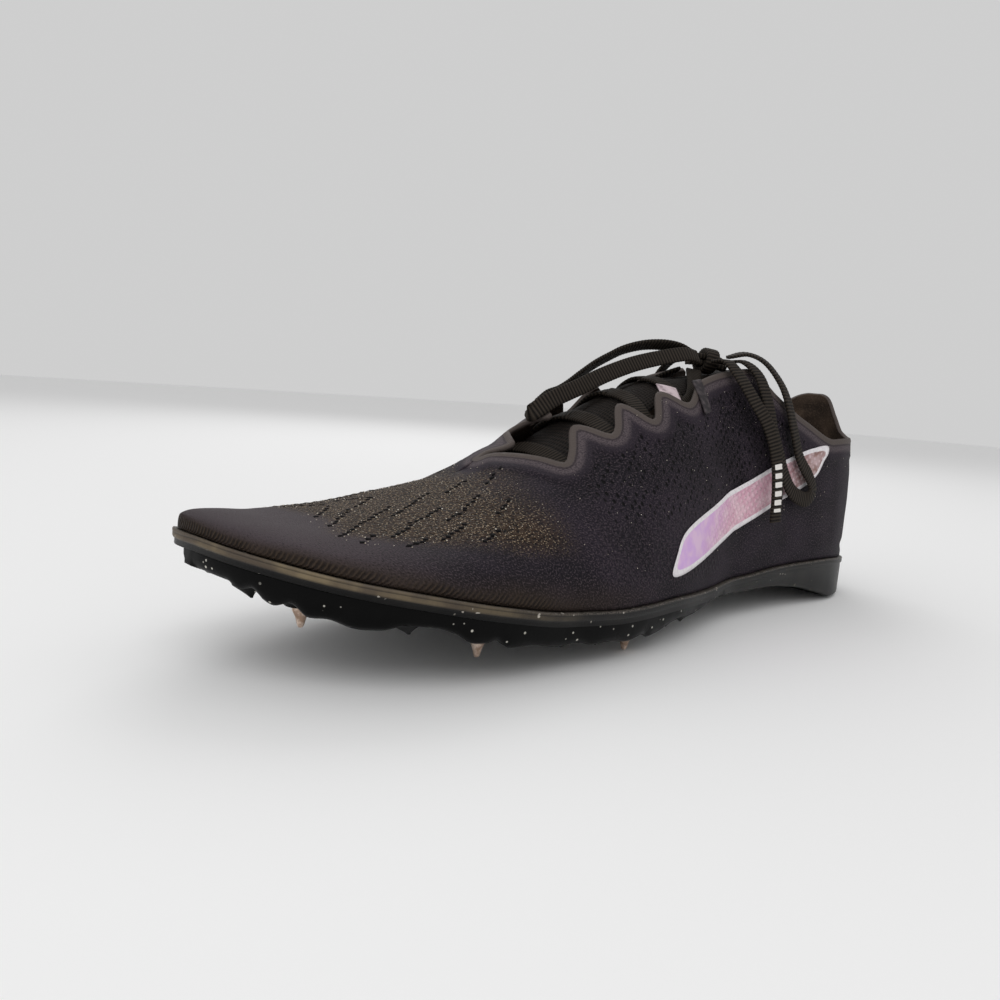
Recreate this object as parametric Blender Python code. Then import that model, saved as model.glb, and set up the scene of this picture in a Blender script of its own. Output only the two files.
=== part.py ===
# Track spike shoe, left foot, standing empty on its heel and its rear pair of pins.
# +X points to the toe, +Y to the shoe's outer (lateral) side, +Z up from the floor.
# Every curved piece is worked out from one last: a short table of sections along the foot.

import math
from collections import namedtuple

import bmesh
import bpy
from mathutils import Vector

# Driving sizes in metres
LENGTH = 0.280            # heel back to toe tip
BALL_WIDTH = 0.0865       # across the ball of the foot
INSTEP_HEIGHT = 0.076     # instep above the sole's rim
RIM_HEIGHT = 0.0172       # sole's rim above the floor under the arch
HEEL_ROUND = 0.040        # length over which the heel's outline rounds off
TOE_ROUND = 0.080         # length over which the toe's outline rounds off
HEEL_BULGE = 0.0026       # how far the heel counter swells backwards
HEEL_TOP_LEAN = 0.003     # how far the heel tab leans forward

WALL = 0.0015             # upper's wall
MARGIN = 0.008            # lasting margin turned in under the foot
BAND_WIDTH = 0.0075       # film that follows the collar and the throat
BAND_STEP = 0.0005        # its step in the wall
BAND_RAMP = 1.08          # where the step's slope starts, as a share of the band's width
WALL_STEPS = 6            # facets of a rib below the band
SEAM_GAP = 0.0003         # gap between pieces that touch

INSOLE_THICK = 0.003
INSOLE_CLEAR = 0.0032     # between insole and the upper's inner wall
INSOLE_TO = 0.925         # share of the length at which the insole ends
INSOLE_THIN_FROM = 0.80   # share of the length where it starts to thin out to the toe
INSOLE_THIN_OVER = 0.14
INSOLE_THIN = 0.45        # share of its thickness that it loses
TONGUE_THICK = 0.0030
TONGUE_HALF = 0.028       # half width at the instep, along the rib
TONGUE_TOP = 0.285        # share of the length where the tongue ends at the ankle
TONGUE_TIP = 0.735        # share of the length where it ends under the vamp
THROAT_SAG = 0.0034       # how far tongue and lace lie flatter than the last between the edges
INSTEP_SAG = 0.0008       # further sag of the tongue behind the top eyelets
LACE_WIDTH = 0.0056
LACE_THICK = 0.0012
KNOT_SIZE = Vector((0.0085, 0.0062, 0.0046))   # half sizes of the knot
KNOT_SHARE = 0.335        # share of the length where the knot lies
KNOT_SIDE = 0.002         # how far it lies to the lateral side
LACE_CLEAR = 0.0010       # between the lace and the wall over it
BARS = (0.664, 0.630, 0.568, 0.510, 0.446)   # bars across the throat, shares of the length
BAR_HIDE = 0.37           # share of the rib from the ridge at which a bar turns under the film
BAR_TURN = 0.045          # how much further the lace goes before it turns back
LACE_STEP = 0.058         # facet of the lace, as a share of the rib
LOOP_STEP = 0.0070        # facet of the free lace
LACE_DEPTH = WALL + LACE_CLEAR + LACE_THICK / 2              # lace's middle under the last
TONGUE_DEPTH = WALL + LACE_CLEAR + LACE_THICK + 2 * SEAM_GAP  # tongue's top under the last
# Tail from the last bar to the knot: share of the length, share of the rib from the ridge, lift
TAIL = ((0.425, 0.375, 0.0), (0.405, 0.330, 0.0), (0.388, 0.255, 0.0), (0.376, 0.180, 0.0006),
        (0.366, 0.110, 0.0016))

RIM_LIP = 0.0012          # how far the rim band stands out past the upper
RIM_BAND = 0.0042         # height of the rim band
SOLE_BEVEL = 0.0016       # rounding of the midsole's lower edge
WEDGE_FLAT_FROM = 0.030   # heel's flat spot on the floor, shares of the length
WEDGE_FLAT_TO = 0.107
PLATE_FROM = 0.400        # spike plate's rear end
PLATE_THICK = 0.0038
PLATE_RUNOUT = 0.070      # share of the length over which its rear end thins out
PLATE_REAR_STEP = 0.020   # share of the length to its second station
PLATE_TIP = 0.004         # walk that its front end stays short of the toe
PLATE_INSET = 0.0016      # plate's side inside the rim band
TOOTH_HEIGHT = 0.0036
TOOTH_LENGTH = 0.0112
TOOTH_WIDTH = 0.0086
TOOTH_RAKE = 0.0018       # how far a tooth's tip leans to the heel
TOOTH_PITCH = 0.0128
BOSS_HEIGHT = 0.0022
BOSS_RIM = 0.2            # share of its height that stands upright
BOSS_RADIUS = 0.0064
BOSS_TIP_RADIUS = 0.0042
ROOT = 0.0008             # how deep teeth and bosses are rooted in the plate
PIN_RADIUS = 0.0026
PIN_TIP_RADIUS = 0.0007
PIN_FLANGE = 0.0008

# The last: a row per section. x is a share of LENGTH; lateral, medial and ridge are shares of
# BALL_WIDTH from the centre line; rim is a share of RIM_HEIGHT; top is the ridge's height above
# the rim as a share of INSTEP_HEIGHT; side and crown are the powers that square the section off.
Section = namedtuple("Section", "x lateral medial rim top ridge side crown")
LAST = [
    Section(0.000, 0.330, -0.330, 0.76, 1.14, 0.000, 2.6, 2.6),
    Section(0.080, 0.350, -0.340, 0.92, 1.12, 0.000, 2.6, 2.6),
    Section(0.160, 0.364, -0.347, 1.01, 1.09, 0.000, 2.5, 2.5),
    Section(0.260, 0.348, -0.338, 0.98, 1.05, 0.000, 2.3, 2.3),
    Section(0.360, 0.345, -0.310, 0.88, 1.00, -0.011, 2.1, 2.1),
    Section(0.450, 0.405, -0.318, 0.86, 0.950, -0.024, 1.9, 1.9),
    Section(0.540, 0.478, -0.368, 0.94, 0.80, -0.046, 1.8, 1.75),
    Section(0.630, 0.505, -0.442, 0.95, 0.58, -0.080, 1.85, 1.75),
    Section(0.710, 0.492, -0.498, 1.04, 0.395, -0.104, 2.0, 1.9),
    Section(0.790, 0.502, -0.508, 1.26, 0.267, -0.127, 2.1, 2.0),
    Section(0.860, 0.512, -0.500, 1.49, 0.173, -0.145, 2.2, 2.1),
    Section(0.920, 0.505, -0.480, 1.68, 0.119, -0.150, 2.3, 2.2),
    Section(0.965, 0.490, -0.462, 1.86, 0.091, -0.148, 2.3, 2.2),
    Section(0.985, 0.483, -0.452, 1.95, 0.072, -0.143, 2.3, 2.2),
    Section(1.000, 0.470, -0.440, 2.03, 0.046, -0.138, 2.3, 2.2),
]

# The opening: where the wall ends, as a share of the rib that runs from the rim (0) to the
# ridge (1). The low and high rows along the throat are the scallops under the lace; above 1 a
# scallop reaches past the ridge to the other side.
Opening = namedtuple("Opening", "x lateral medial")
OPENING = [
    Opening(0.000, 0.530, 0.530),
    Opening(0.003, 0.505, 0.530),
    Opening(0.009, 0.420, 0.520),
    Opening(0.019, 0.350, 0.490),
    Opening(0.042, 0.325, 0.415),
    Opening(0.083, 0.316, 0.340),
    Opening(0.150, 0.318, 0.316),
    Opening(0.214, 0.405, 0.395),
    Opening(0.268, 0.540, 0.530),
    Opening(0.304, 0.710, 0.700),
    Opening(0.345, 0.725, 0.715),
    Opening(0.400, 0.700, 0.690),
    Opening(0.446, 0.610, 0.600),
    Opening(0.486, 0.705, 0.720),
    Opening(0.514, 0.610, 0.600),
    Opening(0.543, 0.750, 0.745),
    Opening(0.573, 0.655, 0.660),
    Opening(0.598, 0.800, 1.070),
    Opening(0.624, 0.710, 0.870),
    Opening(0.636, 0.680, 0.975),
    Opening(0.648, 0.770, 1.070),
    Opening(0.658, 0.860, 1.055),
    Opening(0.672, 0.985, 1.000),
    Opening(0.680, 1.000, 1.000),
    Opening(1.000, 1.000, 1.000),
]
THROAT_FRONT = 0.680
THROAT_BACK = 0.330

# Sole's underside: clearance of the wedge and shank above the floor, as a share of RIM_HEIGHT
Under = namedtuple("Under", "x floor")
UNDERSIDE = [
    Under(0.000, 0.20),
    Under(WEDGE_FLAT_FROM, 0.00),
    Under(WEDGE_FLAT_TO, 0.00),
    Under(0.150, 0.17),
    Under(0.214, 0.40),
    Under(0.286, 0.51),
    Under(0.400, 0.52),
]

LATERAL = 1
MEDIAL = -1

# Pins: share of the length, measured along the plate's outline, and how far in from it
Pin = namedtuple("Pin", "side share inset")
PINS = [
    Pin(LATERAL, 0.955, 0.0105),
    Pin(LATERAL, 0.788, 0.0105),
    Pin(LATERAL, 0.588, 0.0072),
    Pin(MEDIAL, 0.885, 0.0105),
    Pin(MEDIAL, 0.788, 0.0105),
    Pin(MEDIAL, 0.588, 0.0105),
]
REAR_PIN = 2              # row of the pin that sets the length of all

NORMAL_REACH = 0.002      # step along the foot from which a surface normal is taken
NORMAL_RIB = 0.03         # step along the rib for the same
NORMAL_SIGN = -1          # turns the cross product of the two outwards on the lateral side


def smooth(rows, column, x):
    """Value of a table's column at x, by a cubic that never swings past its rows."""
    xs = [row.x for row in rows]
    ys = [getattr(row, column) for row in rows]
    if x <= xs[0]:
        return ys[0]
    if x >= xs[-1]:
        return ys[-1]
    k = 0
    while xs[k + 1] < x:
        k += 1
    rise = [(b - a) / (d - c) for a, b, c, d in zip(ys, ys[1:], xs, xs[1:])]

    def slope(i):
        if i == 0:
            return rise[0]
        if i == len(rise):
            return rise[-1]
        before, after = rise[i - 1], rise[i]
        if before * after <= 0:
            return 0.0
        return 2 * before * after / (before + after)

    step = xs[k + 1] - xs[k]
    t = (x - xs[k]) / step
    return ((2 * t**3 - 3 * t**2 + 1) * ys[k] + (t**3 - 2 * t**2 + t) * step * slope(k)
            + (3 * t**2 - 2 * t**3) * ys[k + 1] + (t**3 - t**2) * step * slope(k + 1))


def blend(t):
    """Smooth step from 0 to 1."""
    t = min(max(t, 0.0), 1.0)
    return t * t * (3 - 2 * t)


# Walk: distance along the outline's own stations, arcs at heel and toe and straight between
HEEL_ARC = HEEL_ROUND * math.pi / 2
TOE_ARC = TOE_ROUND * math.pi / 2
WALK = HEEL_ARC + (LENGTH - HEEL_ROUND - TOE_ROUND) + TOE_ARC


def station(walk):
    """Place along the foot and how much of the full width it has, at a walk from the heel."""
    if walk < HEEL_ARC:
        turn = walk / HEEL_ROUND
        return HEEL_ROUND * (1 - math.cos(turn)), math.sin(turn)
    if walk > WALK - TOE_ARC:
        turn = (WALK - walk) / TOE_ROUND
        return LENGTH - TOE_ROUND * (1 - math.cos(turn)), math.sin(max(turn, 0.0))
    return HEEL_ROUND + walk - HEEL_ARC, 1.0


def walk_at(x):
    """Walk at which the foot has run x from the heel back."""
    if x < HEEL_ROUND:
        return HEEL_ROUND * math.acos(1 - x / HEEL_ROUND)
    if x > LENGTH - TOE_ROUND:
        return WALK - TOE_ROUND * math.acos(1 - (LENGTH - x) / TOE_ROUND)
    return HEEL_ARC + x - HEEL_ROUND


def rim_height(x):
    return RIM_HEIGHT * smooth(LAST, "rim", x / LENGTH)


def ridge_side(x):
    return BALL_WIDTH * smooth(LAST, "ridge", x / LENGTH)


def outline(walk, side, inset=0.0):
    """Plan of the foot at its rim, moved in by inset along the outline's own normal."""
    def bare(w):
        x, width = station(min(max(w, 0.0), WALK))
        column = "lateral" if side == LATERAL else "medial"
        centre = ridge_side(x)
        full = BALL_WIDTH * smooth(LAST, column, x / LENGTH)
        return Vector((x, centre + (full - centre) * width))

    here = bare(walk)
    if inset == 0.0:
        return here
    tiny = 0.0006
    run = bare(walk + tiny) - bare(walk - tiny)
    if walk <= tiny:
        inward = Vector((1.0, 0.0))
    elif walk >= WALK - tiny:
        inward = Vector((-1.0, 0.0))
    else:
        inward = Vector((run.y, -run.x)).normalized() * side
    return here + inward * inset


def lean(x, height):
    """Backward swell and forward lean of the heel counter at a height above the rim."""
    share = height / INSTEP_HEIGHT
    fade = max(0.0, 1 - x / (0.25 * LENGTH)) ** 1.5
    swell = -HEEL_BULGE * math.sin(math.pi * min(max(share * 1.05, 0.0), 1.0))
    tip = HEEL_TOP_LEAN * max(0.0, share - 0.45) / 0.45
    return (swell + tip) * fade


def surface(walk, side, rib):
    """Point of the last's surface at a walk and a share rib from rim (0) to ridge (1)."""
    if walk < 0 or walk > WALK:
        walk = -walk if walk < 0 else 2 * WALK - walk
        side = -side
    if rib > 1:
        rib = 2 - rib
        side = -side
    x, _ = station(walk)
    share = x / LENGTH
    centre = ridge_side(x)
    turn = rib * math.pi / 2
    out = math.cos(turn) ** (2 / smooth(LAST, "side", share)) if rib < 1 else 0.0
    up = math.sin(turn) ** (2 / smooth(LAST, "crown", share)) if rib > 0 else 0.0
    height = INSTEP_HEIGHT * smooth(LAST, "top", share) * up
    across = centre + (outline(walk, side).y - centre) * out
    return Vector((x + lean(x, height), across, rim_height(x) + height))


def skin(walk, side, rib, depth=0.0):
    """Point of the surface, or one that lies depth under it along its normal."""
    here = surface(walk, side, rib)
    if depth == 0.0:
        return here
    along = surface(walk + NORMAL_REACH, side, rib) - surface(walk - NORMAL_REACH, side, rib)
    upward = surface(walk, side, rib + NORMAL_RIB) - surface(walk, side, max(rib - NORMAL_RIB, 0.0))
    return here - along.cross(upward).normalized() * side * depth * NORMAL_SIGN


def rib_length(walk, side):
    """Length of a rib from rim to ridge, by 12 short chords."""
    points = [skin(walk, side, i / 12) for i in range(13)]
    return sum((b - a).length for a, b in zip(points, points[1:]))


def spread(start, end, count):
    return [start + (end - start) * i / count for i in range(count)]


def walks():
    """Stations of the upper: fine at the heel, the toe and along the scalloped throat."""
    heel = [HEEL_ROUND * math.radians(a) for a in (0, 12, 21, 31, 45, 65)]
    waist = spread(walk_at(HEEL_ROUND), walk_at(THROAT_BACK * LENGTH), 6)
    throat = spread(walk_at(THROAT_BACK * LENGTH), walk_at(THROAT_FRONT * LENGTH), 28)
    ball = spread(walk_at(THROAT_FRONT * LENGTH), WALK - TOE_ARC, 2)
    toe = spread(WALK - TOE_ARC, WALK, 9)
    return heel + waist + throat + ball + toe + [WALK]


def material(name, colour, roughness, metallic=0.0):
    made = bpy.data.materials.new(name)
    made.use_nodes = True
    shader = made.node_tree.nodes["Principled BSDF"]
    shader.inputs["Base Color"].default_value = (*colour, 1.0)
    shader.inputs["Roughness"].default_value = roughness
    shader.inputs["Metallic"].default_value = metallic
    return made


def add_object(name, mesh, look, parent):
    made = bpy.data.objects.new(name, mesh)
    bpy.context.scene.collection.objects.link(made)
    mesh.materials.append(look)
    made.parent = parent
    return made


def new_mesh(name, points, faces, merge=0.00002, turn=True):
    """Mesh from points and faces, its doubled points merged; a closed one has its faces turned out."""
    work = bmesh.new()
    verts = [work.verts.new(p) for p in points]
    for face in faces:
        work.faces.new([verts[i] for i in face])
    bmesh.ops.remove_doubles(work, verts=work.verts, dist=merge)
    bmesh.ops.dissolve_degenerate(work, edges=work.edges, dist=merge)
    if turn:
        bmesh.ops.recalc_face_normals(work, faces=work.faces)
    mesh = bpy.data.meshes.new(name)
    work.to_mesh(mesh)
    work.free()
    mesh.shade_smooth()
    mesh.set_sharp_from_angle(angle=math.radians(40))
    return mesh


def sheet_faces(rows, columns):
    """Quads of an open grid whose points run row by row."""
    faces = []
    for r in range(rows - 1):
        for c in range(columns - 1):
            a = r * columns + c
            faces.append((a, a + columns, a + columns + 1, a + 1))
    return faces


def sleeve_faces(rows, around, capped=True):
    """Quads between closed rings that run row by row, with a cap at each end."""
    faces = []
    for r in range(rows - 1):
        for c in range(around):
            a = r * around + c
            b = r * around + (c + 1) % around
            faces.append((a, b, b + around, a + around))
    if capped:
        last = (rows - 1) * around
        faces += [tuple(reversed(range(around))), tuple(range(last, last + around))]
    return faces


def wall_edge(walk, side):
    x, _ = station(walk)
    column = "lateral" if side == LATERAL else "medial"
    return smooth(OPENING, column, x / LENGTH)


def upper_rib(walk, side):
    """One rib of the upper: in along the lasting margin, up the wall, over the film's step."""
    x, _ = station(walk)
    plan = outline(walk, side, MARGIN)
    points = [Vector((plan.x, plan.y, rim_height(plan.x)))]
    edge = wall_edge(walk, side)
    band = min(BAND_WIDTH / rib_length(walk, side), edge * 0.4) if 0 < walk < WALK else edge * 0.2
    step_out = BAND_STEP * (1 - blend((x / LENGTH - THROAT_FRONT) / 0.03))
    shares = [(edge - band * BAND_RAMP) * (i / WALL_STEPS) for i in range(WALL_STEPS + 1)]
    points += [skin(walk, side, share) for share in shares]
    points += [skin(walk, side, share, -step_out) for share in (edge - band, edge)]
    return points


def build_upper(look, parent):
    """Hollow shell: both sides meet in the vamp, at the heel and at the toe."""
    stops = walks()
    points = []
    for stop in reversed(stops):
        points += upper_rib(stop, LATERAL)
    for stop in stops[1:]:
        points += upper_rib(stop, MEDIAL)
    rows = 2 * len(stops) - 1
    columns = len(upper_rib(stops[3], LATERAL))
    mesh = new_mesh("upper", points, sheet_faces(rows, columns), turn=False)
    upper = add_object("upper", mesh, look, parent)
    wall = upper.modifiers.new("wall", "SOLIDIFY")
    wall.thickness = WALL
    wall.offset = -1.0
    wall.use_even_offset = True
    return upper


def layer(name, look, parent, stops, edge, low, high, across=6):
    """Closed slab between two height functions of x, inside the plan outline edge(walk, side)."""
    points = []
    for stop in stops:
        left = edge(stop, LATERAL)
        right = edge(stop, MEDIAL)
        row = [left.lerp(right, i / across) for i in range(across + 1)]
        points += [Vector((p.x, p.y, high(p.x))) for p in row]
        points += [Vector((p.x, p.y, low(p.x))) for p in reversed(row)]
    faces = sleeve_faces(len(stops), 2 * (across + 1))
    return add_object(name, new_mesh(name, points, faces), look, parent)


def tooth(work, base, length, width, height, rake):
    """Four-sided tooth hanging from a base point, its tip raked to the heel."""
    corners = [work.verts.new(base + Vector((sx * length / 2, sy * width / 2, ROOT)))
               for sx, sy in ((1, 0), (0, 1), (-1, 0), (0, -1))]
    tip = work.verts.new(base + Vector((-rake, 0.0, -height)))
    work.faces.new(corners)
    for a, b in zip(corners, corners[1:] + corners[:1]):
        work.faces.new((b, a, tip))


def turned(work, centre, profile, sides=14):
    """Closed solid turned about a vertical axis from (radius, z) pairs, top to bottom."""
    rings = []
    for radius, z in profile:
        rings.append([work.verts.new(centre + Vector((radius * math.cos(2 * math.pi * k / sides),
                                                      radius * math.sin(2 * math.pi * k / sides), z)))
                      for k in range(sides)])
    for upper_ring, lower_ring in zip(rings, rings[1:]):
        for k in range(sides):
            j = (k + 1) % sides
            work.faces.new((upper_ring[k], upper_ring[j], lower_ring[j], lower_ring[k]))
    work.faces.new(rings[0])
    work.faces.new(rings[-1][::-1])


def mesh_from(work, name):
    bmesh.ops.recalc_face_normals(work, faces=work.faces)
    mesh = bpy.data.meshes.new(name)
    work.to_mesh(mesh)
    work.free()
    mesh.shade_smooth()
    mesh.set_sharp_from_angle(angle=math.radians(35))
    return mesh


def plate_edge(walk, side):
    return outline(walk, side, PLATE_INSET)


def plate_top(x):
    return rim_height(x) - RIM_BAND - SEAM_GAP


def plate_bottom(x):
    """Plate's underside: thin at its rear end, full where the teeth begin."""
    share = (x / LENGTH - PLATE_FROM) / PLATE_RUNOUT
    return plate_top(x) - PLATE_THICK * (0.35 + 0.65 * blend(share))


def pin_places():
    """Axis of each pin, seen from above: three on the lateral side and three on the medial."""
    return [outline(walk_at(pin.share * LENGTH), pin.side, PLATE_INSET + pin.inset) for pin in PINS]


def boss_bottom(place):
    return plate_bottom(place.x) - BOSS_HEIGHT


def tooth_places():
    """Teeth in a row along each edge and two rows between, clear of the pins' bosses."""
    pins = pin_places()
    start = walk_at((PLATE_FROM + PLATE_RUNOUT) * LENGTH)
    end = WALK - TOOTH_LENGTH
    places = []
    for row in range(4):
        count = int((end - start) / TOOTH_PITCH)
        for i in range(count + 1):
            walk = start + TOOTH_PITCH * i + (TOOTH_PITCH / 2 if row % 2 else 0.0)
            if walk > end:
                continue
            left = outline(walk, LATERAL, PLATE_INSET + TOOTH_WIDTH * 0.62)
            right = outline(walk, MEDIAL, PLATE_INSET + TOOTH_WIDTH * 0.62)
            if (left - right).length < TOOTH_LENGTH * 3.3 and row in (1, 2):
                continue
            place = left.lerp(right, row / 3)
            if min((place - pin).length for pin in pins) < BOSS_RADIUS + TOOTH_LENGTH * 0.55:
                continue
            if any((place - other).length < TOOTH_LENGTH * 1.02 for other in places):
                continue
            places.append(place)
    return places


def build_plate(look, parent):
    """Hard plate under the forefoot with its teeth and the pins' bosses."""
    stops = [walk_at(PLATE_FROM * LENGTH)]
    stops += spread(walk_at((PLATE_FROM + PLATE_REAR_STEP) * LENGTH), WALK - TOE_ARC, 13)
    stops += spread(WALK - TOE_ARC, WALK - PLATE_TIP, 11)
    plate = layer("spike_plate", look, parent, stops, plate_edge, plate_bottom, plate_top)
    studs = bmesh.new()
    for place in tooth_places():
        base = Vector((place.x, place.y, plate_bottom(place.x)))
        tooth(studs, base, TOOTH_LENGTH, TOOTH_WIDTH, TOOTH_HEIGHT, TOOTH_RAKE)
    for place in pin_places():
        base = Vector((place.x, place.y, 0.0))
        low = boss_bottom(place)
        turned(studs, base, ((BOSS_RADIUS, plate_bottom(place.x) + ROOT),
                             (BOSS_RADIUS, plate_bottom(place.x) - BOSS_HEIGHT * BOSS_RIM),
                             (BOSS_TIP_RADIUS, low)))
    cutter = bpy.data.objects.new("plate_studs", mesh_from(studs, "plate_studs"))
    bpy.context.scene.collection.objects.link(cutter)
    cutter.parent = parent
    cutter.hide_render = True
    cutter.display_type = "WIRE"
    join = plate.modifiers.new("studs", "BOOLEAN")
    join.operation = "UNION"
    join.solver = "EXACT"
    join.object = cutter
    return plate


def build_pins(look, parent):
    """Steel pins: the rear pair stands on the floor, the others are as long."""
    reach = boss_bottom(pin_places()[REAR_PIN]) - SEAM_GAP
    for number, place in enumerate(pin_places(), 1):
        top = boss_bottom(place) - SEAM_GAP
        work = bmesh.new()
        turned(work, Vector((place.x, place.y, top)),
               ((PIN_RADIUS, 0.0), (PIN_RADIUS, -PIN_FLANGE), (PIN_RADIUS * 0.72, -PIN_FLANGE * 1.3),
                (PIN_TIP_RADIUS, -reach)), sides=12)
        add_object("spike_%d" % number, mesh_from(work, "spike_%d" % number), look, parent)


def build_midsole(look, parent):
    """Foam from heel to toe: a rim band with a lip and a groove, a heel wedge, a hollow arch."""
    def under(x):
        share = x / LENGTH
        band = rim_height(x) - RIM_BAND
        if share >= PLATE_FROM:
            return band
        return min(band, RIM_HEIGHT * smooth(UNDERSIDE, "floor", share))

    def from_rim(drop):
        return lambda x: rim_height(x) - drop

    def from_under(lift):
        return lambda x: under(x) + lift

    profile = ((0.0025, from_rim(SEAM_GAP)), (-RIM_LIP * 0.8, from_rim(SEAM_GAP)),
               (-RIM_LIP, from_rim(SEAM_GAP * 2)), (-RIM_LIP, from_rim(RIM_BAND * 0.40)),
               (-RIM_LIP * 0.35, from_rim(RIM_BAND * 0.52)), (-RIM_LIP * 0.8, from_rim(RIM_BAND * 0.66)),
               (-RIM_LIP * 0.7, from_rim(RIM_BAND * 0.94)),
               (SOLE_BEVEL * 0.3, from_under(SOLE_BEVEL * 0.4)), (SOLE_BEVEL * 1.6, from_under(0.0)))
    stops = [HEEL_ROUND * math.radians(a) for a in (0, 12, 24, 36, 50, 68)]
    stops += spread(walk_at(HEEL_ROUND), WALK - TOE_ARC, 20) + spread(WALK - TOE_ARC, WALK, 12) + [WALK]
    points = []
    for stop in stops:
        for side, steps in ((LATERAL, profile), (MEDIAL, profile[::-1])):
            for inset, height in steps:
                plan = outline(stop, side, inset)
                points.append(Vector((plan.x, plan.y, height(plan.x))))
    faces = sleeve_faces(len(stops), 2 * len(profile), capped=False)
    return add_object("midsole", new_mesh("midsole", points, faces), look, parent)


def rib_at(walk, height):
    """Share of the rib at which the surface stands at a height above the rim."""
    share = station(walk)[0] / LENGTH
    part_way = min(height / (INSTEP_HEIGHT * smooth(LAST, "top", share)), 1.0)
    return math.asin(part_way ** (smooth(LAST, "crown", share) / 2)) * 2 / math.pi


def build_insole(look, parent):
    """Thin board that lies on the lasting margin inside the upper."""
    def low(x):
        return rim_height(x) + WALL + SEAM_GAP

    def high(x):
        thin = blend((x / LENGTH - INSOLE_THIN_FROM) / INSOLE_THIN_OVER)
        return low(x) + INSOLE_THICK * (1 - INSOLE_THIN * thin)

    def edge(walk, side):
        x, _ = station(walk)
        point = skin(walk, side, rib_at(walk, high(x) - rim_height(x)), WALL + INSOLE_CLEAR)
        return Vector((point.x, point.y))

    end = walk_at(INSOLE_TO * LENGTH)
    stops = [HEEL_ROUND * math.radians(a) for a in (14, 24, 36, 50, 68)]
    stops += spread(walk_at(HEEL_ROUND), WALK - TOE_ARC, 12) + spread(WALK - TOE_ARC, end, 6) + [end]
    return layer("insole", look, parent, stops, edge, low, high)


def throat_depth(x, rib, depth):
    """Depth of the tongue's and the lace's bed, flatter than the last in the open throat."""
    share = x / LENGTH
    sag = THROAT_SAG * blend((rib - 0.62) / 0.38) * (1 - blend((share - 0.60) / 0.08))
    top = INSTEP_SAG * blend((0.46 - share) / 0.12)
    vamp = -(LACE_THICK + SEAM_GAP) * blend((share - 0.685) / 0.03)
    return depth + sag + top + vamp


def build_tongue(look, parent):
    """Padded strip under the lace, from the ankle to under the vamp."""
    stops = spread(walk_at(TONGUE_TOP * LENGTH), walk_at(TONGUE_TIP * LENGTH), 17)
    stops.append(walk_at(TONGUE_TIP * LENGTH))
    columns = 6
    top_rows = []
    low_rows = []
    for number, stop in enumerate(stops):
        x, _ = station(stop)
        taper = 0.70 + 0.30 * blend((TONGUE_TIP - x / LENGTH) / 0.22)
        end = 0.82 if number in (0, len(stops) - 1) else 1.0
        ribs = []
        for side in (LATERAL, MEDIAL):
            share = 1 - TONGUE_HALF * taper * end / rib_length(stop, side)
            ribs += [(side, share + (1 - share) * i / columns) for i in range(columns)]
            if side == LATERAL:
                ribs.append((LATERAL, 1.0))
        ribs = ribs[:columns + 1] + ribs[columns + 1:][::-1]
        for rows, extra in ((top_rows, 0.0), (low_rows, TONGUE_THICK)):
            row = []
            for place, (side, rib) in enumerate(ribs):
                thin = 0.55 if place in (0, len(ribs) - 1) else 1.0
                row.append(skin(stop, side, rib, throat_depth(x, rib, TONGUE_DEPTH) + extra * thin))
            rows.append(row)
    points = []
    for upper_row, lower_row in zip(top_rows, low_rows):
        points += upper_row + lower_row[::-1]
    faces = sleeve_faces(len(stops), 2 * len(top_rows[0]))
    return add_object("tongue", new_mesh("tongue", points, faces), look, parent)


def curve_through(points, spacing):
    """Points along a smooth curve through the given ones, about spacing apart."""
    padded = [points[0] * 2 - points[1]] + list(points) + [points[-1] * 2 - points[-2]]
    found = []
    for a, b, c, d in zip(padded, padded[1:], padded[2:], padded[3:]):
        count = max(1, round((c - b).length / spacing))
        for i in range(count):
            t = i / count
            found.append(0.5 * (2 * b + (c - a) * t + (2 * a - 5 * b + 4 * c - d) * t**2
                                + (3 * b - a - 3 * c + d) * t**3))
    found.append(points[-1])
    return found


def ribbon(work, path, faces_to, width=LACE_WIDTH, thick=LACE_THICK):
    """Flat closed strip along a path, its flat side turned to faces_to(i) at point i."""
    rings = []
    for i, point in enumerate(path):
        ahead = path[min(i + 1, len(path) - 1)] - path[max(i - 1, 0)]
        ahead.normalize()
        normal = faces_to(i)
        across = ahead.cross(normal).normalized()
        normal = across.cross(ahead).normalized()
        rings.append([work.verts.new(point + across * (sx * width / 2) + normal * (sz * thick / 2))
                      for sx, sz in ((1, 0.55), (0.8, 1), (-0.8, 1), (-1, 0.55),
                                     (-1, -0.55), (-0.8, -1), (0.8, -1), (1, -0.55))])
    for a, b in zip(rings, rings[1:]):
        for k in range(8):
            j = (k + 1) % 8
            work.faces.new((a[k], b[k], b[j], a[j]))
    work.faces.new(rings[0])
    work.faces.new(rings[-1][::-1])


def bed_point(share, across, lift=0.0):
    """Middle of the lace where it lies in the throat; across is 0 at the ridge, + lateral."""
    side = LATERAL if across >= 0 else MEDIAL
    walk = walk_at(share * LENGTH)
    rib = 1 - abs(across)
    return skin(walk, side, rib, throat_depth(share * LENGTH, rib, LACE_DEPTH) - lift)


def bed_normal(share, across):
    side = LATERAL if across >= 0 else MEDIAL
    walk = walk_at(share * LENGTH)
    rib = min(1 - abs(across), 0.97)
    return (skin(walk, side, rib) - skin(walk, side, rib, 0.004)).normalized()


def lace_strip(route):
    """Smooth strip through (share, across, lift) stops on the throat's bed."""
    work = bmesh.new()
    stops = curve_through([Vector(stop) for stop in route], LACE_STEP)
    path = [bed_point(s.x, s.y, s.z) for s in stops]
    normals = [bed_normal(s.x, s.y) for s in stops]
    ribbon(work, path, lambda i: normals[i])
    return work


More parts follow.
